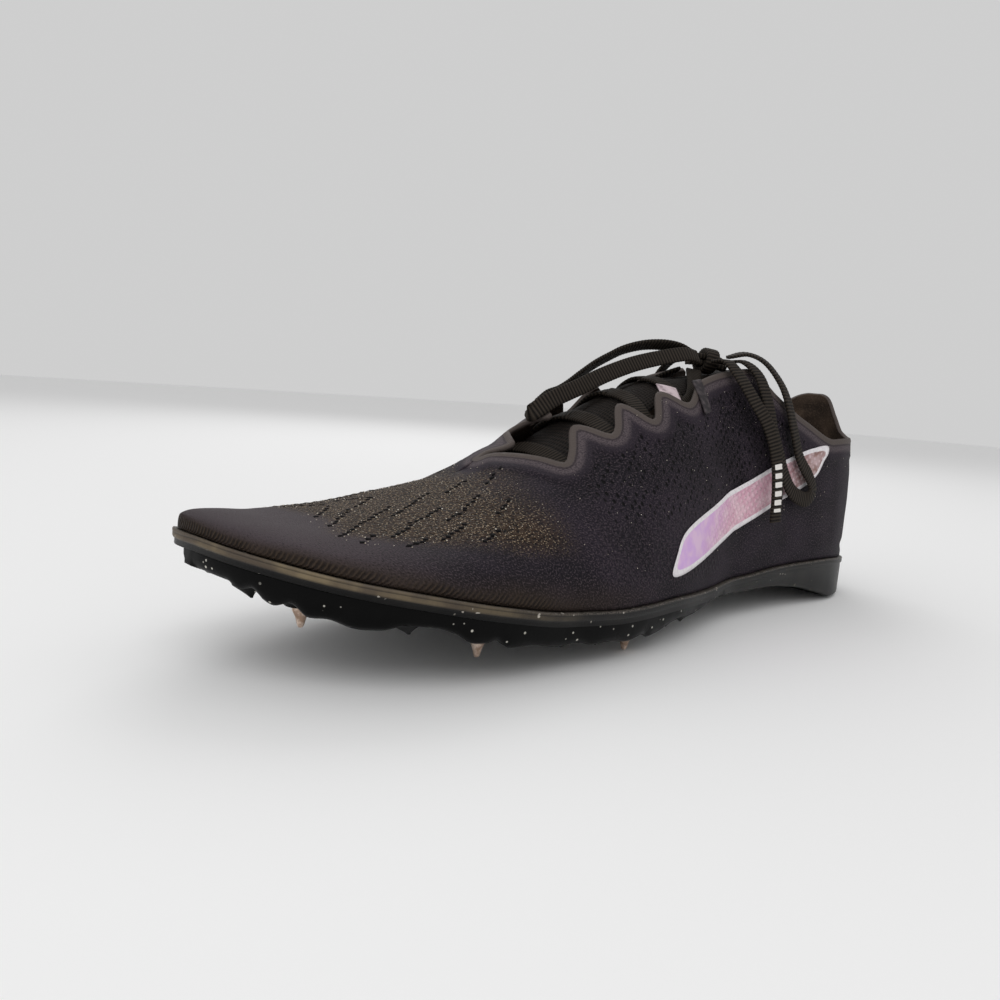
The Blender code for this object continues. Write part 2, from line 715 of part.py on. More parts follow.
def crossings_route():
    """Back and forth across the throat, turning under the film between one bar and the next."""
    route = []
    side = 1
    for number, share in enumerate(BARS):
        route += [(share, side * BAR_HIDE * part, 0.0) for part in (1, 0.65, 0.32, 0, -0.32, -0.65, -1)]
        if number + 1 < len(BARS):
            ahead = BARS[number + 1]
            route.append(((share + ahead) / 2, -side * (BAR_HIDE + BAR_TURN), 0.0))
        side = -side
    return route


def build_crossings(look, parent):
    """Lace held in the throat: the bars and the two tails up to the knot, as one solid."""
    mesh = mesh_from(lace_strip(crossings_route() + tail_route(crossing_end())), "lace_crossings")
    lace = add_object("lace_crossings", mesh, look, parent)
    start = ((BARS[-1] + BARS[-2]) / 2, -crossing_end() * (BAR_HIDE + BAR_TURN), 0.0004)
    branch = mesh_from(lace_strip([start] + tail_route(-crossing_end())), "lace_branch")
    cutter = bpy.data.objects.new("lace_branch", branch)
    bpy.context.scene.collection.objects.link(cutter)
    cutter.parent = parent
    cutter.hide_render = True
    cutter.display_type = "WIRE"
    join = lace.modifiers.new("branch", "BOOLEAN")
    join.operation = "UNION"
    join.solver = "EXACT"
    join.object = cutter
    return lace


def crossing_end():
    """Side on which the last bar ends: 1 lateral, -1 medial."""
    return -1 if len(BARS) % 2 else 1


def tail_route(side):
    """From the last bar under the film, out past the edge and up to the knot."""
    return [(share, side * across, lift) for share, across, lift in TAIL]


def knot_centre():
    ridge = skin(walk_at(KNOT_SHARE * LENGTH), LATERAL, 1.0,
                 throat_depth(KNOT_SHARE * LENGTH, 1.0, TONGUE_DEPTH))
    return ridge + Vector((0.0, KNOT_SIDE, KNOT_SIZE.z + 2 * SEAM_GAP))


def build_knot(look, parent):
    work = bmesh.new()
    bmesh.ops.create_uvsphere(work, u_segments=14, v_segments=8, radius=1.0)
    for vert in work.verts:
        vert.co = Vector((vert.co.x * KNOT_SIZE.x, vert.co.y * KNOT_SIZE.y, vert.co.z * KNOT_SIZE.z))
        vert.co += knot_centre()
    return add_object("lace_knot", mesh_from(work, "lace_knot"), look, parent)


def build_free_lace(name, route, turns, look, parent):
    """Loop or end of the bow: a strip through hand-set points, from the knot's centre."""
    origin = knot_centre()
    points = [origin + Vector(step) * 0.001 for step in route]
    path = curve_through(points, LOOP_STEP)
    hints = [Vector(turn).normalized() for turn in turns]

    def faces_to(i):
        place = i / (len(path) - 1) * (len(hints) - 1)
        k = min(int(place), len(hints) - 2)
        return hints[k].lerp(hints[k + 1], place - k).normalized()

    work = bmesh.new()
    ribbon(work, path, faces_to)
    return add_object(name, mesh_from(work, name), look, parent)


# Free lace: points in millimetres from the knot's centre, and the way the strip's flat side faces
LOOP_FRONT = [
    (8.6, -3, 2), (13.2, -4.5, 3.7), (19.2, -6.5, 4.2), (26.2, -9.2, 3.4), (33.2, -11.8, 1.2),
    (39.2, -13.3, -1.8), (46.2, -13.6, -5.2), (53.2, -13.0, -9), (60.2, -12.0, -12.8),
    (66.4, -11.0, -15.6), (72.6, -10.0, -17.6), (77.6, -9.2, -20), (80.6, -8.2, -22.2), (80.9, -6.8, -22.6),
    (78.6, -5.8, -20.8), (73.6, -5.0, -17.8), (67.4, -4.6, -15.2), (60.6, -4.4, -12.6), (53.6, -4.2, -9.6),
    (45.6, -3.8, -6.6), (37.2, -2.9, -3.8),
    (28.2, -1.5, -1.4), (18.7, 1, 0.8), (13.7, 2, 1.4), (9.2, 2.6, 0.8),
]
LOOP_FRONT_FACES = [(0, -0.6, 0.8), (0, -0.6, 0.8), (0.3, -0.7, 0.5), (0.9, 0.1, -0.4), (0.2, 0.8, 0.35),
                    (0.1, 0.85, 0.5), (0, 0.8, 0.6)]
LOOP_REAR = [
    (-7.0, 4.3, 2.0), (-12, 9, 3.6), (-16, 14.5, 1.0), (-18.8, 20, -6), (-19.3, 24, -13.5), (-20, 27, -23),
    (-23, 29, -33), (-29, 30.4, -40), (-31.5, 30.8, -45), (-27, 30.8, -48), (-18, 30.2, -45), (-12.5, 29, -38),
    (-9.0, 27.6, -29.5), (-7.2, 25.6, -22), (-6.8, 23, -13.5), (-6.6, 18.5, -4.5), (-5.8, 12.5, 0.2),
    (-4.0, 7.2, 0.2),
]
LOOP_REAR_FACES = [(0, 0.1, 1), (-0.2, 0.8, 0.6), (-0.1, 1, 0.15), (-0.2, 1, 0), (0, 1, 0.1), (0.1, 1, 0.25),
                   (0.1, 0.5, 0.8), (0, 0.1, 1)]
END_REAR = [
    (3.2, 6.4, -0.4), (4.0, 12.0, -0.4), (4.0, 18.5, -6.4), (2.8, 24, -14), (0.6, 28, -20.5), (-1.0, 30.4, -27),
    (-2.4, 31.8, -34), (-3.2, 32.4, -41), (-3.8, 32.6, -48), (-4.2, 32.6, -55),
]
END_REAR_FACES = [(0, 0.1, 1), (0.2, 0.8, 0.6), (0.2, 1, 0.2), (0.1, 1, 0), (0.1, 1, 0)]
END_FRONT = [
    (2.0, -6.8, 0.2), (3.0, -12.0, 0.2), (3.4, -18, -4.8), (2.8, -22.6, -14), (1.6, -25.6, -22), (0.6, -27.8, -30),
    (-0.2, -29.6, -38), (-0.6, -30.8, -46), (-0.8, -31.4, -54),
]
END_FRONT_FACES = [(0, -0.1, 1), (0.2, -0.8, 0.6), (0.1, -1, 0.2), (0, -1, 0), (0, -1, 0)]


def settle(shoe, cords):
    """Put the middle of the shoe's box, without its free lace, over the origin."""
    low = Vector((math.inf,) * 3)
    high = -low
    for piece in shoe.children:
        if piece.name in cords or piece.display_type == "WIRE":
            continue
        for vert in piece.data.vertices:
            low = Vector(map(min, low, vert.co))
            high = Vector(map(max, high, vert.co))
    middle = (low + high) / 2
    shoe.location = (-middle.x, -middle.y, -low.z)


def main():
    for item in list(bpy.data.objects):
        bpy.data.objects.remove(item)
    shoe = bpy.data.objects.new("shoe", None)
    bpy.context.scene.collection.objects.link(shoe)
    knit = material("knit_upper", (0.020, 0.018, 0.023), 0.75)
    mesh_cloth = material("tongue_mesh", (0.024, 0.021, 0.020), 0.85)
    lining = material("insole_cloth", (0.035, 0.030, 0.027), 0.9)
    foam = material("midsole_foam", (0.020, 0.018, 0.017), 0.55)
    plate = material("plate_plastic", (0.008, 0.009, 0.009), 0.25)
    steel = material("pin_steel", (0.55, 0.42, 0.34), 0.35, 1.0)
    lace = material("lace_cloth", (0.012, 0.011, 0.010), 0.8)
    build_upper(knit, shoe)
    build_tongue(mesh_cloth, shoe)
    build_insole(lining, shoe)
    build_midsole(foam, shoe)
    build_plate(plate, shoe)
    build_pins(steel, shoe)
    build_crossings(lace, shoe)
    build_knot(lace, shoe)
    build_free_lace("lace_loop_front", LOOP_FRONT, LOOP_FRONT_FACES, lace, shoe)
    build_free_lace("lace_loop_rear", LOOP_REAR, LOOP_REAR_FACES, lace, shoe)
    build_free_lace("lace_end_rear", END_REAR, END_REAR_FACES, lace, shoe)
    build_free_lace("lace_end_front", END_FRONT, END_FRONT_FACES, lace, shoe)
    settle(shoe, ("lace_knot", "lace_loop_front", "lace_loop_rear", "lace_end_rear", "lace_end_front"))


main()
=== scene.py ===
# Looks of a left track spike shoe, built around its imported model.
# +X points to the toe, +Y to the outer (lateral) side, +Z up from the floor. Metres.
# Wall, tongue, sole and lace follow one last, worked out below from the same sizes as the model.

import functools
import math
import random
from collections import namedtuple

import bmesh
import bpy
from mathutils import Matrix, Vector, kdtree, noise


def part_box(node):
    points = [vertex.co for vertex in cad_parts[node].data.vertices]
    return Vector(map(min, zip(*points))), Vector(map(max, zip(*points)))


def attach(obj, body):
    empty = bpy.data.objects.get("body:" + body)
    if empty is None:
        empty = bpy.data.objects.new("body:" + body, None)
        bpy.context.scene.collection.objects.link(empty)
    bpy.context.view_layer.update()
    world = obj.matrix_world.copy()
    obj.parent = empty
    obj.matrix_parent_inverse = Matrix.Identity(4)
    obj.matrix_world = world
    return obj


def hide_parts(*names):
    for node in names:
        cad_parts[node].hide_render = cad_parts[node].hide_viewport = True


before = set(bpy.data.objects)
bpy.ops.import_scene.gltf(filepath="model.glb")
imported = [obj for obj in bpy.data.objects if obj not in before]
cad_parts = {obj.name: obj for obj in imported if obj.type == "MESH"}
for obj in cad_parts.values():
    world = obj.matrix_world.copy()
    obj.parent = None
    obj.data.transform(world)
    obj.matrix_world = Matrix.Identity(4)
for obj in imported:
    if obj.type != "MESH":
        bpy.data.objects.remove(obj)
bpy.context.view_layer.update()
random.seed(7)
bpy.ops.object.select_all(action="DESELECT")

MM = 0.001

# The shoe's driving sizes
LENGTH = 0.280            # heel back to toe tip
BALL_WIDTH = 0.0865
INSTEP_HEIGHT = 0.076
RIM_HEIGHT = 0.0172       # sole's rim above the floor under the arch
HEEL_ROUND = 0.040        # length over which the heel's outline rounds off
TOE_ROUND = 0.080
HEEL_BULGE = 0.0026
HEEL_TOP_LEAN = 0.003
WALL = 0.0015
MARGIN = 0.008            # lasting margin turned in under the foot
BAND_STEP = 0.0005        # height of the film over the knit
SEAM_GAP = 0.0003
THROAT_FRONT = 0.680      # shares of the length
RIM_LIP = 0.0012
RIM_BAND = 0.0042
SOLE_BEVEL = 0.0016
SOLE_STEP = 0.0016        # between cross-sections of the midsole

# Where the last's zero, its heel back at floor height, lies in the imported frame
ORIGIN = Vector((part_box("midsole")[0][0] + RIM_LIP, -0.13 * MM, 0.0))

# The last: a row per section. x is a share of LENGTH; lateral, medial and ridge are shares of
# BALL_WIDTH from the centre line; rim is a share of RIM_HEIGHT; top is the ridge's height above
# the rim as a share of INSTEP_HEIGHT; side and crown are the powers that square the section off.
Section = namedtuple("Section", "x lateral medial rim top ridge side crown")
LAST = [
    Section(0.000, 0.330, -0.330, 0.76, 1.14, 0.000, 2.6, 2.6),
    Section(0.080, 0.350, -0.340, 0.92, 1.12, 0.000, 2.6, 2.6),
    Section(0.160, 0.364, -0.347, 1.01, 1.09, 0.000, 2.5, 2.5),
    Section(0.260, 0.348, -0.338, 0.98, 1.05, 0.000, 2.3, 2.3),
    Section(0.360, 0.345, -0.310, 0.88, 1.00, -0.011, 2.1, 2.1),
    Section(0.450, 0.405, -0.318, 0.86, 0.950, -0.024, 1.9, 1.9),
    Section(0.540, 0.478, -0.368, 0.94, 0.80, -0.046, 1.8, 1.75),
    Section(0.630, 0.505, -0.442, 0.95, 0.58, -0.080, 1.85, 1.75),
    Section(0.710, 0.492, -0.498, 1.04, 0.395, -0.104, 2.0, 1.9),
    Section(0.790, 0.502, -0.508, 1.26, 0.267, -0.127, 2.1, 2.0),
    Section(0.860, 0.512, -0.500, 1.49, 0.173, -0.145, 2.2, 2.1),
    Section(0.920, 0.505, -0.480, 1.68, 0.119, -0.150, 2.3, 2.2),
    Section(0.965, 0.490, -0.462, 1.86, 0.091, -0.148, 2.3, 2.2),
    Section(0.985, 0.483, -0.452, 1.95, 0.072, -0.143, 2.3, 2.2),
    Section(1.000, 0.470, -0.440, 2.03, 0.046, -0.138, 2.3, 2.2),
]

# The opening: where the wall ends, as a share of the rib that runs from the rim (0) to the
# ridge (1). The low and high rows along the throat are the scallops under the lace; above 1 a
# scallop reaches past the ridge to the other side.
Opening = namedtuple("Opening", "x lateral medial")
OPENING = [
    Opening(0.000, 0.530, 0.530),
    Opening(0.003, 0.505, 0.530),
    Opening(0.009, 0.420, 0.520),
    Opening(0.019, 0.350, 0.490),
    Opening(0.042, 0.325, 0.415),
    Opening(0.083, 0.316, 0.340),
    Opening(0.150, 0.318, 0.316),
    Opening(0.214, 0.405, 0.395),
    Opening(0.268, 0.540, 0.530),
    Opening(0.304, 0.710, 0.700),
    Opening(0.345, 0.725, 0.715),
    Opening(0.400, 0.700, 0.690),
    Opening(0.446, 0.610, 0.600),
    Opening(0.486, 0.705, 0.720),
    Opening(0.514, 0.610, 0.600),
    Opening(0.543, 0.750, 0.745),
    Opening(0.573, 0.655, 0.660),
    Opening(0.598, 0.800, 1.070),
    Opening(0.624, 0.710, 0.870),
    Opening(0.636, 0.680, 0.975),
    Opening(0.648, 0.770, 1.070),
    Opening(0.658, 0.860, 1.055),
    Opening(0.672, 0.985, 1.000),
    Opening(0.680, 1.000, 1.000),
    Opening(1.000, 1.000, 1.000),
]

# Heel wedge and shank: clearance above the floor, as a share of RIM_HEIGHT
Under = namedtuple("Under", "x floor")
UNDERSIDE = [
    Under(0.000, 0.20), Under(0.030, 0.00), Under(0.107, 0.00), Under(0.150, 0.17),
    Under(0.214, 0.40), Under(0.286, 0.51), Under(0.400, 0.52),
]
PLATE_FROM = 0.400

LATERAL = 1
MEDIAL = -1
NORMAL_REACH = 0.002
NORMAL_RIB = 0.03


# ---- the last ----

def smooth(rows, column, x):
    """Value of a table's column at x, by a cubic that never swings past its rows."""
    xs = [row.x for row in rows]
    ys = [getattr(row, column) for row in rows]
    if x <= xs[0]:
        return ys[0]
    if x >= xs[-1]:
        return ys[-1]
    k = 0
    while xs[k + 1] < x:
        k += 1
    rise = [(b - a) / (d - c) for a, b, c, d in zip(ys, ys[1:], xs, xs[1:])]

    def slope(i):
        if i in (0, len(rise)):
            return rise[min(i, len(rise) - 1)]
        before, after = rise[i - 1], rise[i]
        return 0.0 if before * after <= 0 else 2 * before * after / (before + after)

    step = xs[k + 1] - xs[k]
    t = (x - xs[k]) / step
    return ((2 * t**3 - 3 * t**2 + 1) * ys[k] + (t**3 - 2 * t**2 + t) * step * slope(k)
            + (3 * t**2 - 2 * t**3) * ys[k + 1] + (t**3 - t**2) * step * slope(k + 1))


@functools.lru_cache(maxsize=None)
def section(x):
    """The last's section at a place along the foot, in metres."""
    return Section(*(x if name == "x" else smooth(LAST, name, x / LENGTH) for name in Section._fields))


def blend(t):
    t = min(max(t, 0.0), 1.0)
    return t * t * (3 - 2 * t)


def bump_at(value, middle, half):
    """1 at the middle, falling smoothly to 0 at half away."""
    return 1 - blend(abs(value - middle) / half)


HEEL_ARC = HEEL_ROUND * math.pi / 2
TOE_ARC = TOE_ROUND * math.pi / 2
WALK = HEEL_ARC + (LENGTH - HEEL_ROUND - TOE_ROUND) + TOE_ARC


def station(walk):
    """Place along the foot and how much of the full width it has, at a walk from the heel."""
    if walk < HEEL_ARC:
        turn = walk / HEEL_ROUND
        return HEEL_ROUND * (1 - math.cos(turn)), math.sin(turn)
    if walk > WALK - TOE_ARC:
        turn = (WALK - walk) / TOE_ROUND
        return LENGTH - TOE_ROUND * (1 - math.cos(turn)), math.sin(max(turn, 0.0))
    return HEEL_ROUND + walk - HEEL_ARC, 1.0


def walk_at(x):
    if x < HEEL_ROUND:
        return HEEL_ROUND * math.acos(1 - x / HEEL_ROUND)
    if x > LENGTH - TOE_ROUND:
        return WALK - TOE_ROUND * math.acos(1 - (LENGTH - x) / TOE_ROUND)
    return HEEL_ARC + x - HEEL_ROUND


def rim_height(x):
    return RIM_HEIGHT * section(x).rim


@functools.lru_cache(maxsize=None)
def plan_point(walk, side):
    x, width = station(min(max(walk, 0.0), WALK))
    here = section(x)
    centre = BALL_WIDTH * here.ridge
    full = BALL_WIDTH * (here.lateral if side == LATERAL else here.medial)
    return x, centre + (full - centre) * width


def outline(walk, side, inset=0.0):
    """Plan of the foot at its rim, moved in by inset along the outline's own normal."""
    here = Vector(plan_point(walk, side))
    if inset == 0.0:
        return here
    tiny = 0.0006
    run = Vector(plan_point(walk + tiny, side)) - Vector(plan_point(walk - tiny, side))
    if walk <= tiny:
        inward = Vector((1.0, 0.0))
    elif walk >= WALK - tiny:
        inward = Vector((-1.0, 0.0))
    else:
        inward = Vector((run.y, -run.x)).normalized() * side
    return here + inward * inset


def lean(x, height):
    """Backward swell and forward lean of the heel counter at a height above the rim."""
    share = height / INSTEP_HEIGHT
    fade = max(0.0, 1 - x / (0.25 * LENGTH)) ** 1.5
    swell = -HEEL_BULGE * math.sin(math.pi * min(max(share * 1.05, 0.0), 1.0))
    tip = HEEL_TOP_LEAN * max(0.0, share - 0.45) / 0.45
    return (swell + tip) * fade


def surface(walk, side, rib):
    """Point of the last's surface at a walk and a share rib from rim (0) to ridge (1)."""
    if walk < 0 or walk > WALK:
        walk = -walk if walk < 0 else 2 * WALK - walk
        side = -side
    if rib > 1:
        rib = 2 - rib
        side = -side
    x, _ = station(walk)
    here = section(x)
    centre = BALL_WIDTH * here.ridge
    turn = rib * math.pi / 2
    out = math.cos(turn) ** (2 / here.side) if rib < 1 else 0.0
    up = math.sin(turn) ** (2 / here.crown) if rib > 0 else 0.0
    height = INSTEP_HEIGHT * here.top * up
    across = centre + (plan_point(walk, side)[1] - centre) * out
    return Vector((x + lean(x, height), across, RIM_HEIGHT * here.rim + height))


def skin(walk, side, rib, depth=0.0):
    """Point of the surface, or one that lies depth under it along its normal."""
    here = surface(walk, side, rib)
    if depth == 0.0:
        return here
    along = surface(walk + NORMAL_REACH, side, rib) - surface(walk - NORMAL_REACH, side, rib)
    upward = surface(walk, side, rib + NORMAL_RIB) - surface(walk, side, max(rib - NORMAL_RIB, 0.0))
    return here + along.cross(upward).normalized() * side * depth


@functools.lru_cache(maxsize=None)
def rib_length(walk, side):
    points = [surface(walk, side, i / 12) for i in range(13)]
    return sum((b - a).length for a, b in zip(points, points[1:]))


def wall_edge(walk, side):
    x, _ = station(walk)
    return smooth(OPENING, "lateral" if side == LATERAL else "medial", x / LENGTH)


def spread(start, end, count):
    return [start + (end - start) * i / count for i in range(count)] + [end]


# ---- meshes ----

def mesh_object(name, points, faces, looks, uv=None, values=None, merge=True):
    """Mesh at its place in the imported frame, with a UV map in metres and named values per point."""
    mesh = bpy.data.meshes.new(name)
    mesh.from_pydata([Vector(p) + ORIGIN for p in points], [], faces)
    if uv:
        layer = mesh.uv_layers.new(name="surface")
        layer.data.foreach_set("uv", [c for loop in mesh.loops for c in uv[loop.vertex_index]])
    for key, column in (values or {}).items():
        mesh.attributes.new(key, "FLOAT", "POINT").data.foreach_set("value", column)
    if merge:
        work = bmesh.new()
        work.from_mesh(mesh)
        bmesh.ops.remove_doubles(work, verts=work.verts, dist=0.02 * MM)
        bmesh.ops.dissolve_degenerate(work, edges=work.edges, dist=0.01 * MM)
        work.to_mesh(mesh)
        work.free()
    for look in looks:
        mesh.materials.append(look)
    mesh.shade_smooth()
    made = bpy.data.objects.new(name, mesh)
    bpy.context.scene.collection.objects.link(made)
    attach(made, "root")
    return made


def thicken(made, thick, **settings):
    """Gives a sheet its thickness, inwards from its face."""
    body = made.modifiers.new("body", "SOLIDIFY")
    body.thickness = thick
    body.offset = -1.0
    for key, value in settings.items():
        setattr(body, key, value)
    bpy.context.view_layer.objects.active = made
    bpy.ops.object.modifier_apply(modifier=body.name)


def sheet_faces(rows, columns):
    return [(r * columns + c, (r + 1) * columns + c, (r + 1) * columns + c + 1, r * columns + c + 1)
            for r in range(rows - 1) for c in range(columns - 1)]


def sleeve_faces(rows, around, capped=True):
    faces = []
    for r in range(rows - 1):
        for c in range(around):
            a, b = r * around + c, r * around + (c + 1) % around
            faces.append((a, b, b + around, a + around))
    if capped:
        last = (rows - 1) * around
        faces += [tuple(reversed(range(around))), tuple(range(last, last + around))]
    return faces


# ---- materials ----

MATH = "ShaderNodeMath"
RANGE = "ShaderNodeMapRange"
NOISE = "ShaderNodeTexNoise"
CELLS = "ShaderNodeTexVoronoi"
FIELD = "ShaderNodeAttribute"
PLACE = "ShaderNodeTexCoord"
TIMES = {"operation": "MULTIPLY"}
PLUS_PRODUCT = {"operation": "MULTIPLY_ADD"}
SOFT = {"interpolation_type": "SMOOTHSTEP"}

# What the wall's look reads at each point: millimetres to the opening's edge, then shares
MASKS = ("gap", "film", "bare", "holes", "dots", "knurl", "toe", "dirt")


def hex_colour(code):
    """sRGB hex to linear."""
    channels = [int(code[i:i + 2], 16) / 255 for i in (1, 3, 5)]
    return tuple(c / 12.92 if c <= 0.04045 else ((c + 0.055) / 1.055) ** 2.4 for c in channels) + (1.0,)


def node(tree, kind, settings=None, out=0, **links):
    """Adds a node with its settings and links, and returns one of its outputs. A link is named after
    the input, or _ and its number; a value that is text is a colour."""
    made = tree.nodes.new(kind)
    for key, value in (settings or {}).items():
        setattr(made, key, value)
    for key, value in links.items():
        socket = made.inputs[int(key[1:])] if key[0] == "_" else made.inputs[key.replace("_", " ")]
        if isinstance(value, bpy.types.NodeSocket):
            tree.links.new(value, socket)
        else:
            socket.default_value = hex_colour(value) if isinstance(value, str) else value
    return made.outputs[out]


def new_look(name, colour, roughness, **sockets):
    """Material whose plain values sit on the shader's own sockets; returns it and its tree."""
    made = bpy.data.materials.new(name)
    made.use_nodes = True
    inputs = made.node_tree.nodes["Principled BSDF"].inputs
    inputs["Base Color"].default_value = hex_colour(colour)
    inputs["Roughness"].default_value = roughness
    for key, value in sockets.items():
        inputs[key.replace("_", " ")].default_value = value
    return made, made.node_tree


def surface_mm(tree, turn=0.0, squash=1.0):
    """A piece's own surface map in millimetres, turned and squashed."""
    uv = node(tree, "ShaderNodeUVMap", {"uv_map": "surface"})
    return node(tree, "ShaderNodeMapping", Vector=uv, Scale=(1 / MM, squash / MM, 1 / MM),
                Rotation=(0.0, 0.0, turn))


def lay(tree, base, colour, *shares):
    """Lays a colour over base by the product of its shares. A share is a number, a node's output, or
    (output, low, high) and, where they aren't 0 and 1, its share at low and at high."""
    whole = 1.0
    for share in shares:
        if isinstance(share, tuple):
            value, low, high, *ends = share
            first, last = ends or (0.0, 1.0)
            share = node(tree, RANGE, SOFT, Value=value, From_Min=low, From_Max=high,
                         To_Min=first, To_Max=last)
        whole = node(tree, MATH, TIMES, _0=whole, _1=share)
    return node(tree, "ShaderNodeMix", {"data_type": "RGBA"}, 2, _0=whole, _6=base, _7=colour)


def close_look(made, base, relief, deep, strength, rough=None):
    """Ends a look with its colour, its relief, deep in millimetres, and its roughness if that varies."""
    tree = made.node_tree
    bump = node(tree, "ShaderNodeBump", Height=relief, Distance=deep * MM, Strength=strength)
    for name, source in (("Base Color", base), ("Normal", bump), ("Roughness", rough)):
        if source is not None:
            tree.links.new(source, tree.nodes["Principled BSDF"].inputs[name])
    return made


def knit_film_look():
    """Fine black knit heat-pressed under a thin matt film. The film reads violet-grey with a pale strip
    along its cut edge that is a painted sheen, and paler over the toe, partly the toe cap's tone and partly
    painted sheen; bare mesh over the vamp reads brown and glitters."""
    made, tree = new_look("black knit under matt TPU film", "#1a181d", 0.62, Specular_IOR_Level=0.10)
    gap, film, bare, holes, dots, knurl, toe, dirt = (
        node(tree, FIELD, {"attribute_name": name}, "Fac") for name in MASKS)
    here = surface_mm(tree)
    slanted = surface_mm(tree, 0.62)
    cloud = node(tree, NOISE, Vector=here, Scale=0.06, Detail=3.0)
    fine = node(tree, NOISE, Vector=here, Scale=1.9, Detail=2.0)
    speck = node(tree, NOISE, Vector=here, Scale=2.1, Detail=0.0)
    thread = node(tree, CELLS, out="Distance", Vector=slanted, Scale=1.15, Randomness=0.9)

    # film over knit: soft clouds, a paler purple-grey over the toe that is partly the toe cap's tone and
    # partly painted sheen, a dusty and a dark fleck
    base = lay(tree, "#151219", "#251f28", (cloud, 0.35, 0.68))
    # partly painted sheen: the toe's paler purple-grey
    base = lay(tree, base, "#473e41", toe, 0.8)
    base = lay(tree, base, "#4f454a", (fine, 0.48, 0.68, 0.0, 0.7))
    base = lay(tree, base, "#080608", (fine, 0.30, 0.46, 0.85, 0.0))

    # bare mesh: yarn cells with a brown sheen and bright flecks
    yarn = lay(tree, "#090604", "#3b2d21", (thread, 0.26, 0.60))
    base = lay(tree, base, yarn, bare, 0.9)
    base = lay(tree, base, "#bda98d", (speck, 0.65, 0.74), bare, 0.75)

    # the film's border: a stippled band that fades into the film, a dark line, and a pale strip on the
    # raised cut edge that is a painted sheen
    base = lay(tree, base, "#2f2830", (gap, 6.0, 9.0, 0.6, 0.0), film)
    base = lay(tree, base, "#574e51", (gap, 4.0, 6.0, 1.0, 0.0), (fine, 0.34, 0.60, 0.25, 1.0), film)
    line = node(tree, MATH, {"operation": "SUBTRACT"}, _0=gap, _1=2.5)
    line = node(tree, MATH, {"operation": "ABSOLUTE"}, _0=line)
    base = lay(tree, base, "#2d2729", (line, 0.15, 0.5, 0.7, 0.0), film)
    # painted sheen: pale strip along the film's raised cut edge
    base = lay(tree, base, "#544c48", (gap, 1.9, 2.4, 0.92, 0.0), film)

    # pinholes at 2 mm, drawn a little coarser than real ones, and raised dots at 2.5 mm
    pin = node(tree, CELLS, out="Distance", Vector=surface_mm(tree, 0.55, 0.62), Scale=0.50, Randomness=0.3)
    pin = node(tree, RANGE, SOFT, Value=pin, From_Min=0.15, From_Max=0.30, To_Min=1.0, To_Max=0.0)
    pin = node(tree, MATH, TIMES, _0=pin, _1=holes)
    base = lay(tree, base, "#050406", pin)
    dot = node(tree, CELLS, out="Distance", Vector=slanted, Scale=0.40, Randomness=0.15)
    dot = node(tree, RANGE, SOFT, Value=dot, From_Min=0.10, From_Max=0.40, To_Min=1.0, To_Max=0.0)
    dot = node(tree, MATH, TIMES, _0=dot, _1=dots)
    base = lay(tree, base, "#4d444c", dot, 0.30)

    # dirt above the sole, and a knurled strip at 1.1 mm with painted light on its rib crests and painted
    # shade in its valleys
    rib = node(tree, "ShaderNodeTexWave", {"wave_type": "BANDS", "bands_direction": "X"}, "Fac",
               Vector=surface_mm(tree, -0.75), Scale=0.285, Distortion=2.6, Detail=2.0)
    dust = lay(tree, "#0f0b08", "#42362a", fine)
    base = lay(tree, base, dust, (cloud, 0.30, 0.60, 0.5, 0.95), dirt)
    # painted light and shade on the knurled ribs: pale crests, dark valleys
    base = lay(tree, base, lay(tree, "#120e0c", "#3f342a", rib), knurl, 0.75)

    rough = node(tree, RANGE, Value=fine, From_Min=0.3, From_Max=0.7, To_Min=0.50, To_Max=0.72)
    high = node(tree, MATH, TIMES, _0=fine, _1=0.5)
    for part, weight in ((thread, bare), (dot, 1.0), (rib, knurl), (pin, -1.0)):
        high = node(tree, MATH, PLUS_PRODUCT, _0=part, _1=weight, _2=high)
    return close_look(made, base, high, 0.5, 1.0, rough)


def lining_look():
    """Brushed polyester lining: matt brown-grey that shows at the collar."""
    made, tree = new_look("brushed polyester lining", "#2c2520", 0.9, Specular_IOR_Level=0.12)
    here = node(tree, PLACE, out="Object")
    fleece = node(tree, NOISE, Vector=here, Scale=1600.0, Detail=3.0)
    cloud = node(tree, NOISE, Vector=here, Scale=70.0, Detail=2.0)
    base = lay(tree, "#2e2621", "#4d4036", (cloud, 0.35, 0.70))
    base = lay(tree, base, "#5c4e42", (fleece, 0.45, 0.75, 0.0, 0.5))
    return close_look(made, base, fleece, 0.4, 0.7)


def foam_look():
    """Moulded EVA with a satin skin: black at the heel, its rim a scuffed brown-grey at the toe."""
    made, tree = new_look("moulded EVA foam, satin skin", "#121110", 0.46, Specular_IOR_Level=0.3)
    here = node(tree, PLACE, out="Object")
    pale, line = (node(tree, FIELD, {"attribute_name": name}, "Fac") for name in ("pale", "line"))
    cloud = node(tree, NOISE, Vector=here, Scale=110.0, Detail=4.0)
    fine = node(tree, NOISE, Vector=here, Scale=2000.0, Detail=2.0)
    pale_specks = node(tree, NOISE, Vector=here, Scale=700.0, Detail=0.0)
    dark = lay(tree, "#0a0909", "#191715", (cloud, 0.35, 0.70))
    light = lay(tree, "#4c4135", "#75674f", (cloud, 0.35, 0.70))
    base = lay(tree, dark, light, pale)
    base = lay(tree, base, "#5a534c", (fine, 0.38, 0.62), line)
    # pale specks over the foam
    base = lay(tree, base, "#c8c1b5", (pale_specks, 0.80, 0.84, 0.0, 0.7))
    return close_look(made, base, fine, 0.15, 0.5)


